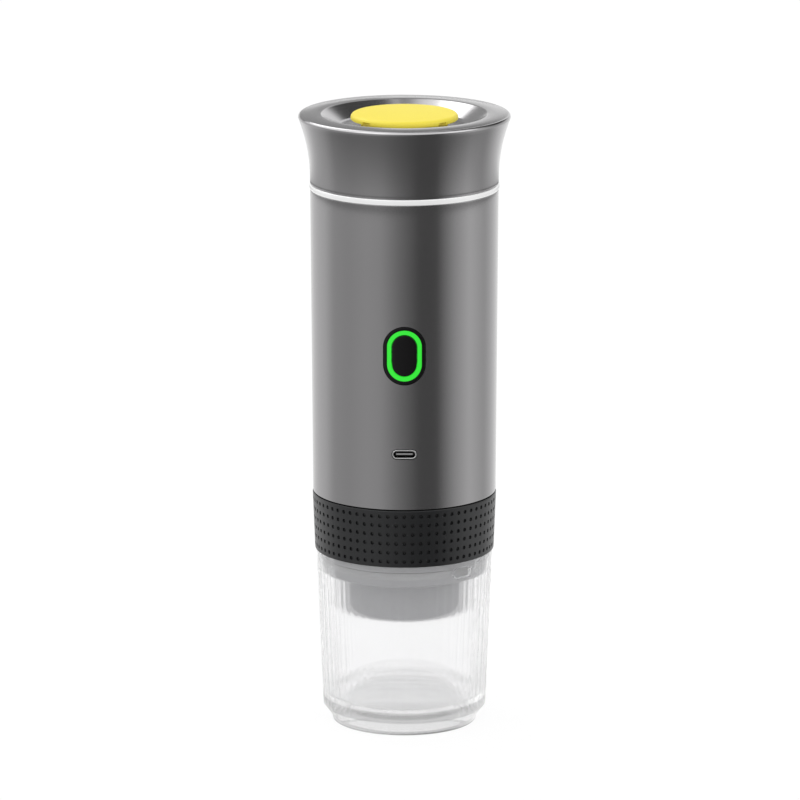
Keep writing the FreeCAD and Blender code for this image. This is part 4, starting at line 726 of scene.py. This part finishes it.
def oval_cutter(width: float, height: float, level: float, reach: Point,
                turn: float = 0.0) -> Piece:
    """Make an oval bar that cuts an opening into a wall.

    Args:
        width: Width of the opening.
        height: Height of the opening.
        level: Height of its middle.
        reach: Distances from the axis at which the bar starts and ends.
        turn: Degrees to the right of the front.

    Returns:
        The bar.
    """
    mesh = bmesh.new()
    face = oval(mesh, width, height)
    move(mesh, 0.0, -reach[0], level)
    pull(mesh, [face], Vector((0.0, (reach[0] - reach[1]) * MM, 0.0)))
    swing(mesh, turn)
    bmesh.ops.recalc_face_normals(mesh, faces=mesh.faces[:])
    return linked(mesh, "cutter")


@dataclass
class Housing:
    """The tapered grey body with its openings.

    An opening is a width, a height and a level. The rings part the wall's faces at heights above
    the lower edge, so that the wall shades evenly.
    """

    base: float = 90.9
    top: float = 208.9
    radius: float = 35.1
    top_radius: float = 35.9
    wall: float = 1.2
    lip_bore: float = 33.0
    lip: float = 1.0
    button: Opening = (16.2, 22.7, 151.0)
    port: Opening = (9.74, 3.96, 112.7)
    cut: Point = (20.0, 45.0)
    rings: tuple[float, ...] = (1.0, 2.0, 18.0, 26.0, 45.0, 75.0, 115.8, 116.8, 117.5)
    foot_round: float = 0.4
    top_round: float = 0.12
    steps: int = 288

    def build(self) -> None:
        """Turn the shell, cut its openings and settle it."""
        slope = (self.top_radius - self.radius) / (self.top - self.base)
        section = Section(self.lip_bore, self.base)
        section.to((self.radius, self.base))
        for rise in self.rings:
            section.to((self.radius + slope * rise, self.base + rise))
        section.to((self.top_radius, self.top), (self.top_radius - self.wall, self.top),
                   (self.radius - self.wall, self.base + self.lip), (self.lip_bore, self.base + self.lip))
        mesh = section.turn(self.steps)
        soften(mesh, ring_edges(mesh, self.radius, self.base), self.foot_round)
        soften(mesh, ring_edges(mesh, self.top_radius, self.top), self.top_round, 2)
        shell = linked(mesh, "housing")
        carve(shell, [oval_cutter(*self.button, self.cut), oval_cutter(*self.port, self.cut)])
        settle(shell, "main", Slot.GRAPHITE_PAINT, "body_shell")


@dataclass
class Trim:
    """The bright ring between body and lid."""

    base: float = 208.9
    height: float = 2.1
    radius: float = 36.15
    step: float = 35.05
    bore: float = 31.75
    flange: float = 1.5
    rounding: float = 0.35

    def build(self) -> None:
        """Turn the ring and round its edges."""
        top = self.base + self.height
        section = Section(self.step, self.base)
        section.to((self.radius, self.base), (self.radius, top), (self.bore, top),
                   (self.bore, self.base + self.flange), (self.step, self.base + self.flange))
        mesh = section.turn()
        edges = ring_edges(mesh, self.radius, self.base) + ring_edges(mesh, self.radius, top)
        soften(mesh, edges, self.rounding, 4)
        settle(linked(mesh, "trim"), "main", Slot.BRIGHT_TRIM, "trim_ring")


@dataclass
class Lid:
    """The flared lid with its dished top and the yellow filler plug."""

    base: float = 211.0
    height: float = 26.7
    radius: float = 35.9
    rim: float = 40.4
    rim_round: float = 1.2
    rim_degrees: float = 74.0
    rim_flat: float = 39.4
    rim_inside: float = 38.4
    flare_centre: Point = (101.5, 212.4)
    flare_degrees: float = 21.15
    flare_inside: Point = (38.9, 234.3)
    foot_round: float = 0.15
    dish_edge: float = 31.7
    dish_edge_round: float = 0.35
    dish_foot: float = 24.5
    dish_foot_round: float = 1.2
    dish_floor: float = 232.7
    dish_lean: float = 0.4
    wall: float = 1.4
    plug_hole: Point = (12.3, 227.9)
    seal_seat: Point = (14.1, 226.0)
    seal_wall: float = 15.9
    plug_top: float = 237.8
    plug_radius: float = 20.47
    plug_under: float = 235.5
    plug_rounds: Point = (1.6, 0.3)
    plug_step: float = 16.5
    stem: float = 12.0
    stem_foot: float = 223.8
    stem_round: float = 0.6
    stem_bore: float = 9.5
    head_depth: float = 2.5
    notches: int = 4
    notch_radius: float = 2.0
    notch_height: float = 1.1
    flare_steps: int = 18
    rim_steps: int = 12
    plug_steps: int = 192
    crease: float = 40.0

    def build(self) -> None:
        """Build the lid and its plug."""
        self.build_shell()
        self.build_plug()

    def build_shell(self) -> None:
        """Turn the lid's shell: flare, rounded rim and dish, with its wall behind them."""
        top = self.base + self.height
        hole, hole_foot = self.plug_hole
        bend = self.flare_centre[1]
        section = Section(self.radius, self.base)
        section.to((self.radius, bend))
        section.sweep(self.flare_centre, self.flare_degrees, self.flare_steps)
        section.sweep((self.rim - self.rim_round, top - self.rim_round),
                      -self.rim_degrees - self.flare_degrees, self.rim_steps)
        section.to((self.rim_flat, top), (self.dish_edge, top), (self.dish_foot, self.dish_floor),
                   (hole, self.dish_floor), (hole, hole_foot), (self.seal_seat[0], hole_foot),
                   self.seal_seat, (self.seal_wall, self.seal_seat[1]),
                   (self.seal_wall, self.dish_floor - self.wall),
                   (self.dish_foot + self.dish_lean, self.dish_floor - self.wall),
                   (self.dish_edge + self.dish_lean, top - self.wall),
                   (self.rim_inside, top - self.wall), self.flare_inside)
        section.sweep(self.flare_centre, -self.flare_degrees, self.rim_steps)
        section.to((self.radius - self.wall, bend), (self.radius - self.wall, self.base))
        mesh = section.turn()
        soften(mesh, ring_edges(mesh, self.dish_edge, top), self.dish_edge_round, 4)
        soften(mesh, ring_edges(mesh, self.dish_foot, self.dish_floor), self.dish_foot_round, 5)
        soften(mesh, ring_edges(mesh, self.radius, self.base), self.foot_round, 2)
        settle(linked(mesh, "lid"), "lid", Slot.GRAPHITE_PAINT, "lid_shell", self.crease)

    def build_plug(self) -> None:
        """Turn the plug, round its head and cut the finger notches."""
        head_foot = self.plug_under - self.head_depth
        section = Section(0.0, self.plug_top)
        section.to((self.plug_radius, self.plug_top), (self.plug_radius, self.plug_under),
                   (self.plug_step, self.plug_under), (self.plug_step, self.dish_floor),
                   (self.stem, self.dish_floor), (self.stem, self.stem_foot),
                   (self.stem_bore, self.stem_foot), (self.stem_bore, head_foot), (0.0, head_foot))
        mesh = section.turn(self.plug_steps, closed=False)
        soften(mesh, ring_edges(mesh, self.plug_radius, self.plug_top), self.plug_rounds[0], 8)
        soften(mesh, ring_edges(mesh, self.plug_radius, self.plug_under), self.plug_rounds[1])
        soften(mesh, ring_edges(mesh, self.stem, self.stem_foot), self.stem_round, 2)
        plug = linked(mesh, "filler_plug")
        carve(plug, [self.notch((index + 0.5) * 360.0 / self.notches) for index in range(self.notches)])
        settle(plug, "plug", Slot.YELLOW_PLUG, "vent_plug", self.crease)

    def notch(self, degrees: float) -> Piece:
        """Make the round bar that cuts one finger notch.

        Args:
            degrees: Where the notch is round the plug.

        Returns:
            The bar.
        """
        mesh = bmesh.new()
        turn = math.radians(degrees)
        place = Vector((math.cos(turn), math.sin(turn), self.plug_under / self.plug_radius))
        bmesh.ops.create_cone(mesh, cap_ends=True, segments=32, radius1=self.notch_radius * MM,
                              radius2=self.notch_radius * MM, depth=self.notch_height * 2.0 * MM,
                              matrix=Matrix.Translation(place * self.plug_radius * MM))
        return linked(mesh, "cutter")


@dataclass
class ButtonSet:
    """Black frame, light ring and push button, one inside the other."""

    level: float = 151.0
    back: float = 28.6
    surface: float = 35.66
    frame_size: Point = (15.7, 22.2)
    ring_size: Point = (13.2, 19.7)
    window_size: Point = (9.9, 16.4)
    button_size: Point = (9.3, 15.8)
    button_back: float = 31.9
    play: float = 0.05
    depth: float = 6.0
    rounding: float = 0.16
    button_rings: int = 4
    ring_step: float = 1.0
    crease: float = 50.0

    def build(self) -> None:
        """Build the three pieces."""
        guide = tuple(size - 2.0 * self.play for size in self.ring_size)
        bands = (("button_frame", self.frame_size, self.ring_size, 0.0, Slot.BLACK_GLOSS, "button_bezel"),
                 ("light_guide", guide, self.window_size, self.play, Slot.GREEN_LIGHT, "light_ring"))
        for name, outer, inner, sunk, slot, node in bands:
            mesh = oval_tube(outer, (outer[0] - inner[0]) / 2.0, self.depth, self.rounding)
            self.fit(mesh, self.surface - sunk, self.back)
            settle(linked(mesh, name), "main", slot, node, self.crease)
        self.key()

    def fit(self, mesh: Mesh, surface: float, back: float) -> None:
        """Bend the front of an oval piece round the body and set its back.

        Args:
            mesh: The piece, with its back at y = 0.
            surface: Radius of the front.
            back: Distance of its back from the axis.
        """
        for vertex in mesh.verts:
            behind = vertex.co.y / MM + self.depth
            if behind < self.depth / 2.0:
                vertex.co.y = -math.sqrt((surface * MM) ** 2 - vertex.co.x ** 2) + behind * MM
            else:
                vertex.co.y = -back * MM
            vertex.co.z += self.level * MM
        bmesh.ops.recalc_face_normals(mesh, faces=mesh.faces[:])

    def key(self) -> None:
        """Build the push button with rings of faces, so that its front bends evenly."""
        mesh = oval_tube(self.button_size, 0.0, self.depth, self.rounding)
        middle = min(mesh.faces, key=lambda item: item.calc_center_median().y)
        for _ in range(self.button_rings):
            bmesh.ops.inset_region(mesh, faces=[middle], thickness=self.ring_step * MM,
                                   use_even_offset=True)
        self.fit(mesh, self.surface - 2.0 * self.play, self.button_back)
        settle(linked(mesh, "push_button"), "button", Slot.BLACK_GLOSS, "power_button", self.crease)


@dataclass
class ChargingPort:
    """The metal charging socket behind the body's wall."""

    level: float = 112.7
    back: float = 28.6
    front: float = 35.1
    outside: Point = (9.24, 3.46)
    opening: Point = (8.34, 2.56)
    tongue: Point = (6.2, 0.6)
    tongue_back: float = 1.0
    rounding: float = 0.14
    crease: float = 50.0

    def build(self) -> None:
        """Build the socket as an oval tube with a rounded mouth and its contact tongue."""
        depth = self.front - self.back
        wall = (self.outside[0] - self.opening[0]) / 2.0
        mesh = oval_tube(self.outside, wall, depth, self.rounding, 48)
        length = (depth - self.tongue_back) * MM
        tongue = Matrix.Translation((0.0, -length / 2.0, 0.0))
        tongue @= Matrix.Diagonal((self.tongue[0] * MM, length, self.tongue[1] * MM, 1.0))
        bmesh.ops.create_cube(mesh, size=1.0, matrix=tongue)
        move(mesh, 0.0, -self.back, self.level)
        bmesh.ops.recalc_face_normals(mesh, faces=mesh.faces[:])
        settle(linked(mesh, "charging_socket"), "main", Slot.PORT_STEEL, "usb_socket", self.crease)


@dataclass
class GripRing:
    """The black rubber ring with rows of dimples."""

    base: float = 68.2
    height: float = 22.4
    radius: float = 34.4
    top_radius: float = 35.3
    bore: float = 32.65
    foot_bore: float = 33.65
    foot: float = 1.0
    rows: int = 6
    columns: int = 70
    pitch: float = 3.55
    dimple: float = 0.76
    dimple_edge: float = 0.7
    pits: tuple[Point, ...] = ((0.05, 0.5), (0.2, 0.25))
    rounding: float = 0.3
    smallest_cell: float = 8.0
    cell_sunk: float = 0.4
    cell_tilt: float = 0.3
    crease: float = 38.0

    def build(self) -> None:
        """Turn the ring with one face for each dimple, then press the dimples in."""
        top = self.base + self.height
        lead = (self.height - self.rows * self.pitch) / 2.0
        section = Section(self.foot_bore, self.base)
        section.to((self.radius, self.base))
        for row in range(self.rows + 1):
            rise = lead + row * self.pitch
            wide = self.radius + (self.top_radius - self.radius) * rise / self.height
            section.to((wide, self.base + rise))
        section.to((self.top_radius, top), (self.bore, top), (self.bore, self.base + self.foot),
                   (self.foot_bore, self.base + self.foot))
        mesh = section.turn(self.columns)
        self.press(mesh)
        soften(mesh, ring_edges(mesh, self.radius, self.base), self.rounding, 2)
        soften(mesh, ring_edges(mesh, self.top_radius, top), self.rounding, 2)
        settle(linked(mesh, "grip"), "brew_unit", Slot.BLACK_RUBBER, "grip_ring", self.crease)

    def press(self, mesh: Mesh) -> None:
        """Press a round dimple into every face of the rows.

        Args:
            mesh: The turned ring.
        """
        cells = [face for face in mesh.faces if self.is_cell(face)]
        bmesh.ops.inset_individual(mesh, faces=cells, thickness=self.dimple_edge * MM, use_even_offset=True)
        rims = list({edge for face in cells for edge in face.edges})
        bmesh.ops.subdivide_edges(mesh, edges=rims, cuts=2)
        for face in cells:
            centre = face.calc_center_median()
            for vertex in face.verts:
                vertex.co = centre + (vertex.co - centre).normalized() * self.dimple * MM
        for width, depth in self.pits:
            bmesh.ops.inset_individual(mesh, faces=cells, thickness=width * MM, depth=-depth * MM)

    def is_cell(self, face: Face) -> bool:
        """Tell whether a face gets a dimple.

        Args:
            face: A face of the turned ring.

        Returns:
            True if it is one of the outer wall's rows.
        """
        centre = face.calc_center_median()
        outside = math.hypot(centre.x, centre.y) > (self.radius - self.cell_sunk) * MM
        upright = abs(face.normal.z) < self.cell_tilt
        return outside and upright and face.calc_area() > self.smallest_cell * MM * MM


@dataclass
class Cup:
    """The frosted fluted cup with its vent slot.

    The rings above the shoulder and the drops below the flutes' top part the wall's faces. The
    corner is the width and the cut of the floor's edge. The slack finds the flutes' points.
    """

    height: float = 68.2
    top_radius: float = 33.85
    shoulder_radius: float = 31.35
    shoulder: float = 6.3
    foot_radius: float = 27.8
    foot: float = 1.7
    recess: float = 24.8
    wall: float = 1.6
    floor: float = 10.3
    underside: float = 6.8
    plain_band: float = 6.6
    flutes: int = 60
    flute_radius: float = 2.6
    flute_depth: float = 0.45
    steps: int = 8
    fade: float = 3.0
    rings: tuple[float, ...] = (1.0, 2.0, 3.0)
    slot: Opening = (9.0, 3.4, 64.0)
    slot_turn: float = 41.2
    slot_cut: Point = (25.0, 40.0)
    lip_width: float = 0.5
    lip_proud: float = 0.6
    lip_sunk: float = 0.5
    lip_round: float = 0.22
    drops: tuple[float, ...] = (1.2, 0.6, 0.0)
    recess_bevel: float = 1.0
    corner: Point = (2.0, 0.6)
    foot_round: float = 0.5
    rim_round: float = 0.3
    slack: Point = (0.2, 0.01)
    crease: float = 35.0

    def build(self) -> None:
        """Turn the cup, press its flutes and cut its slot."""
        slope = (self.top_radius - self.shoulder_radius) / (self.height - self.shoulder)
        flute_top = self.height - self.plain_band

        def wall_at(level: float) -> Point:
            """Return the point of the outer wall at a level."""
            return self.top_radius - slope * (self.height - level), level

        mouth = self.top_radius - self.wall
        wide, narrow = self.corner
        corner = mouth - slope * (self.height - self.floor - wide)
        section = Section(0.0, self.underside)
        section.to((self.recess - self.recess_bevel, self.underside),
                   (self.recess, self.underside - self.recess_bevel),
                   (self.recess, 0.0), (self.foot_radius, 0.0), (self.foot_radius, self.foot),
                   (self.shoulder_radius, self.shoulder),
                   *(wall_at(self.shoulder + rise) for rise in self.rings),
                   *(wall_at(flute_top - drop) for drop in self.drops),
                   (self.top_radius, self.height), (mouth, self.height), (corner, self.floor + wide),
                   (corner - narrow, self.floor + narrow), (corner - wide, self.floor), (0.0, self.floor))
        mesh = section.turn(self.flutes * self.steps, closed=False)
        self.flute(mesh, flute_top)
        soften(mesh, ring_edges(mesh, self.foot_radius, 0.0), self.foot_round)
        soften(mesh, ring_edges(mesh, self.top_radius, self.height), self.rim_round, 2)
        cup = linked(mesh, "cup_body")
        carve(cup, [oval_cutter(*self.slot, self.slot_cut, self.slot_turn)])
        self.lip(cup, wall_at(self.slot[2])[0])
        settle(cup, "cup", Slot.FROSTED_CUP, "cup", self.crease)

    def lip(self, cup: Piece, reach: float) -> None:
        """Raise a thin lip round the slot.

        Args:
            cup: The cup, with its slot cut.
            reach: Radius of the wall at the slot.
        """
        outer = tuple(size + 2.0 * self.lip_width for size in self.slot[:2])
        mesh = oval_tube(outer, self.lip_width, self.lip_proud + self.lip_sunk, self.lip_round, 48)
        for vertex in mesh.verts:
            vertex.co.y -= math.sqrt(((reach - self.lip_sunk) * MM) ** 2 - vertex.co.x ** 2)
        swing(mesh, self.slot_turn)
        move(mesh, 0.0, 0.0, self.slot[2])
        bmesh.ops.recalc_face_normals(mesh, faces=mesh.faces[:])
        mesh.from_mesh(cup.data)
        mesh.to_mesh(cup.data)
        mesh.free()

    def flute(self, mesh: Mesh, flute_top: float) -> None:
        """Press the flutes into the outer wall.

        Args:
            mesh: The turned cup.
            flute_top: Level at which the flutes end.
        """
        pitch = FULL_TURN / self.flutes
        inwards, apart = self.slack
        for vertex in mesh.verts:
            level = vertex.co.z / MM
            reach = math.hypot(vertex.co.x, vertex.co.y) / MM
            outside = reach >= self.shoulder_radius - inwards
            if not (outside and self.shoulder + apart <= level <= flute_top - apart):
                continue
            turn = math.atan2(vertex.co.y, vertex.co.x) / pitch
            across = (turn - round(turn)) * pitch * reach
            rise = math.sqrt(max(0.0, self.flute_radius ** 2 - across ** 2))
            depth = max(0.0, rise - self.flute_radius + self.flute_depth)
            fade = min(1.0, flute_top - level, (level - self.shoulder) / self.fade)
            scale = 1.0 - depth * fade / reach
            vertex.co.x *= scale
            vertex.co.y *= scale


class Studio:
    """The floor, the uneven studio round the object, the lamps and the camera."""

    # Each pair is a share of the way round, from behind on the left, and a brightness.
    LOW_BANDS: tuple[Point, ...] = (
        (0.00, 1.15), (0.10, 0.95), (0.185, 0.88), (0.235, 0.60), (0.30, 0.55), (0.37, 0.61),
        (0.42, 0.58), (0.48, 0.34), (0.55, 0.13), (0.61, 0.13), (0.68, 0.62), (0.74, 0.93),
        (0.82, 0.66), (0.90, 1.00), (1.00, 1.15),
    )
    HIGH_BANDS: tuple[Point, ...] = (
        (0.00, 0.42), (0.04, 0.70), (0.08, 1.70), (0.12, 2.00), (0.25, 1.90), (0.42, 1.80),
        (0.60, 1.50), (0.72, 1.60), (0.80, 0.35), (0.86, 0.10), (0.93, 0.10), (0.948, 1.30),
        (0.965, 1.30), (0.985, 0.30), (1.00, 0.42),
    )

    # The upward parts of a direction between which the low bands turn into the high ones.
    BAND_TURN = (0.10, 0.34)

    # Each pair is a distance from the axis in metres and how bright the collar is there.
    COLLAR_FADE: tuple[Point, ...] = ((0.050, 0.22), (0.071, 0.24), (0.079, 0.62), (0.100, 1.00))

    # Name, place in metres, size and power in watts of each lamp.
    LAMPS: tuple[tuple[str, Colour, float, float], ...] = (
        ("key", (-0.9, -1.0, 1.5), 1.0, 3.0), ("rear", (-0.62, 0.67, 1.15), 0.7, 3.0),
        ("side", (1.2, -0.5, 0.9), 0.9, 1.5),
    )
    LAMP_AIM = (0.0, 0.0, 0.12)

    # The camera's place and aim in metres, and its focal length and shift in pixels.
    EYE = (0.0, -2.3109, 0.6591)
    EYE_AIM = (0.0, 0.0, 0.12586)
    FOCAL, SHIFT, PICTURE = 6179.25, -4.4, 800.0

    # How far the collar's bands are drawn together, and the light where it is faded.
    COLLAR_SPREAD, COLLAR_LIGHT = 1.28, 0.12

    # Studio light on rough surfaces, colour of the floor and how much its lit side shows.
    SOFT_LIGHT, FLOOR_TONE, FLOOR_PLAIN, FLOOR_GLOW = 0.85, 0.9, 0.9, 0.03

    # Distances from the axis between which clear plastic shows the floor brighter, and how bright.
    UNDER_SPAN, UNDER_LIGHT = (0.015, 0.04), (0.6, 0.9)

    # The card's size in metres, its place in millimetres and its glow; the collar's radius and
    # width in metres and its level in millimetres.
    CARD_SIZE, CARD_PLACE, CARD_GLOW = (0.26, 0.14, 1.0), (-140.0, 250.0, 335.0), 0.45
    COLLAR_RADIUS, COLLAR_WIDTH, COLLAR_LEVEL = 0.13, 0.067, 200.0

    def build(self) -> None:
        """Build everything that isn't part of the object."""
        self.world()
        self.floor()
        self.card()
        self.collar()
        self.lamps()
        self.camera()

    def bands(self, nodes: NodeTree, place: Socket, spread: float = 1.0) -> Socket:
        """Add the upright bands of the studio, by direction round the object's axis.

        Args:
            nodes: The tree.
            place: A direction or place about the axis.
            spread: How far the bands are drawn together towards the front.

        Returns:
            The colour output.
        """
        across, along, up = nodes.axes(place)
        turn = nodes.math("ARCTAN2", across, nodes.math("MULTIPLY", along, -1.0))
        share = nodes.math("MULTIPLY_ADD", turn, spread / FULL_TURN, 0.5)
        whole = nodes.add("Mix", data_type="RGBA", Factor=nodes.ease(up, self.BAND_TURN, (0.0, 1.0)))
        # A ramp holds brightness up to 1, so the bands are halved in it and doubled after it.
        for index, bands in ((6, self.LOW_BANDS), (7, self.HIGH_BANDS)):
            halved = nodes.ramp(share, [(position, (level / 2.0,) * 3) for position, level in bands])
            nodes.join(halved, whole.inputs[index])
        return nodes.vector("SCALE", whole.outputs[2], 2.0)

    @staticmethod
    def mirror_share(nodes: NodeTree, path: Node) -> Socket:
        """Tell mirrored rays from those that only pass through clear plastic."""
        blocked = nodes.math("SUBTRACT", 1.0, path.outputs["Is Transmission Ray"])
        return nodes.math("MULTIPLY", path.outputs["Is Glossy Ray"], blocked)

    def world(self) -> None:
        """Light the object evenly and show it uneven bands in its reflections."""
        world = bpy.data.worlds.new("studio")
        world.cycles.sampling_method = "NONE"
        bpy.context.scene.world = world
        nodes = NodeTree(world)
        bands = self.bands(nodes, nodes.add("TexCoord").outputs["Generated"])
        lights = ((WHITE, 1.0), (WHITE, self.SOFT_LIGHT), (bands, 1.0))
        seen, soft, mirrored = (nodes.add("Background", Color=colour, Strength=strength)
                                for colour, strength in lights)
        path = nodes.add("LightPath")
        through = nodes.math("MAXIMUM", path.outputs["Is Camera Ray"], path.outputs["Is Transmission Ray"])
        plain = nodes.blend(through, soft, seen)
        nodes.show(nodes.blend(self.mirror_share(nodes, path), plain, mirrored), "OutputWorld")

    def floor(self) -> None:
        """Lay a floor that shows the shadow and what is below it, and mirrors the studio's bands."""
        mesh = bmesh.new()
        bmesh.ops.create_grid(mesh, x_segments=2, y_segments=2, size=3.0)
        floor = linked(mesh, "floor")
        nodes = self.glowing(floor)
        lit = nodes.add("BsdfDiffuse", Color=(self.FLOOR_TONE, self.FLOOR_TONE, self.FLOOR_TONE, 1.0))
        clear = nodes.add("BsdfTransparent")
        glow = nodes.add("Emission", Strength=self.FLOOR_GLOW)
        seen = nodes.add("AddShader")
        nodes.join(clear.outputs[0], seen.inputs[0])
        nodes.join(glow.outputs[0], seen.inputs[1])
        place = nodes.add("TexCoord").outputs["Object"]
        mirrored = nodes.add("Emission", Color=self.bands(nodes, place))
        under = nodes.ease(nodes.vector("LENGTH", place), self.UNDER_SPAN, self.UNDER_LIGHT)
        path = nodes.add("LightPath")
        camera = path.outputs["Is Camera Ray"]
        share = nodes.math("MAXIMUM", nodes.math("MULTIPLY", camera, self.FLOOR_PLAIN),
                           nodes.math("MULTIPLY", path.outputs["Is Transmission Ray"], under))
        plain = nodes.blend(share, lit, seen)
        above = nodes.blend(self.mirror_share(nodes, path), plain, mirrored)
        from_below = nodes.math("MULTIPLY", camera, nodes.add("NewGeometry").outputs["Backfacing"])
        nodes.show(nodes.blend(from_below, above, clear))

    def card(self) -> None:
        """Stand a grey card behind the lid, so that its flat rim darkens to the left."""
        mesh = bmesh.new()
        bmesh.ops.create_grid(mesh, x_segments=1, y_segments=1, size=0.5)
        bmesh.ops.scale(mesh, verts=mesh.verts[:], vec=self.CARD_SIZE)
        swing(mesh, 90.0, "X")
        move(mesh, *self.CARD_PLACE)
        nodes, glow = self.mirrored_only("card", mesh)
        nodes.join(self.CARD_GLOW, glow.inputs["Strength"])

    def collar(self) -> None:
        """Lay a ring round the lid's foot, which the flare mirrors in place of the floor."""
        mesh = bmesh.new()
        bmesh.ops.create_circle(mesh, cap_ends=True, segments=96, radius=self.COLLAR_RADIUS)
        face = mesh.faces[:][0]
        bmesh.ops.inset_region(mesh, faces=[face], thickness=self.COLLAR_WIDTH, use_boundary=True,
                               use_even_offset=True)
        bmesh.ops.delete(mesh, geom=[face], context="FACES")
        move(mesh, 0.0, 0.0, self.COLLAR_LEVEL)
        nodes, glow = self.mirrored_only("collar", mesh)
        flat = nodes.vector("MULTIPLY", nodes.add("TexCoord").outputs["Object"], (1.0, 1.0, 0.0))
        fade = nodes.ramp(nodes.vector("LENGTH", flat),
                          [(away, (level,) * 3) for away, level in self.COLLAR_FADE])
        lift = nodes.math("MULTIPLY_ADD", fade, -self.COLLAR_LIGHT, self.COLLAR_LIGHT)
        bands = self.bands(nodes, flat, self.COLLAR_SPREAD)
        nodes.join(nodes.vector("MULTIPLY_ADD", bands, fade, lift), glow.inputs["Color"])

    @staticmethod
    def glowing(sheet: Piece) -> NodeTree:
        """Give a sheet a material that isn't sampled as a lamp.

        Args:
            sheet: The sheet.

        Returns:
            The material's empty tree.
        """
        material = bpy.data.materials.new(sheet.name)
        material.cycles.emission_sampling = "NONE"
        sheet.data.materials.append(material)
        return NodeTree(material)

    def mirrored_only(self, name: str, mesh: Mesh) -> tuple[NodeTree, Node]:
        """Stage a glowing sheet that only mirrored rays see.

        Args:
            name: Name of the sheet.
            mesh: The sheet.

        Returns:
            Its node tree and the glow in it.
        """
        sheet = linked(mesh, name)
        nodes = self.glowing(sheet)
        glow = nodes.add("Emission")
        nodes.show(glow)
        for kind in ("camera", "diffuse", "transmission", "shadow"):
            setattr(sheet, f"visible_{kind}", False)
        return nodes, glow

    def lamps(self) -> None:
        """Hang the soft lamps."""
        for name, place, size, power in self.LAMPS:
            data = bpy.data.lights.new(name, "AREA")
            data.size = size
            data.energy = power
            self.stand(name, data, place, self.LAMP_AIM)

    def camera(self) -> None:
        """Set the camera at the height and distance from which the object is shown."""
        data = bpy.data.cameras.new("camera")
        data.sensor_width = 36.0
        data.lens = self.FOCAL / self.PICTURE * data.sensor_width
        data.shift_x = self.SHIFT / self.PICTURE
        data.clip_end = 20.0
        bpy.context.scene.camera = self.stand("camera", data, self.EYE, self.EYE_AIM)

    @staticmethod
    def stand(name: str, data: bpy.types.ID, place: Colour, aim: Colour) -> Piece:
        """Stand a lamp or a camera in the studio.

        Args:
            name: Its name.
            data: The lamp or the camera.
            place: Where it stands, in metres.
            aim: The point that it looks at.

        Returns:
            Its object.
        """
        item = bpy.data.objects.new(name, data)
        item.location = place
        item.rotation_euler = (Vector(aim) - Vector(place)).to_track_quat("-Z", "Y").to_euler()
        bpy.context.scene.collection.objects.link(item)
        return item


def dress_frame() -> None:
    """Give every node of the frame the finish of its slot."""
    slots = {row["node"]: Slot(row["material_slot"]) for row in frame["record"]["subparts"]}
    for name, node in frame["nodes"].items():
        node.data.materials.clear()
        node.data.materials.append(FINISHES[slots[name]].material())
        LOG.info("%s keeps its shape, finished as %s", name, slots[name].value)


def main() -> None:
    """Dress the frame, build the new pieces and stage them."""
    logging.basicConfig(level=logging.INFO, format="%(message)s")
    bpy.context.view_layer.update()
    bpy.context.scene.view_settings.view_transform = "Standard"
    steps: tuple[Callable[[], None], ...] = (
        dress_frame, Housing().build, Trim().build, Lid().build, ButtonSet().build,
        ChargingPort().build, GripRing().build, Cup().build, Studio().build,
    )
    for step in steps:
        step()


if __name__ == "__main__":
    main()
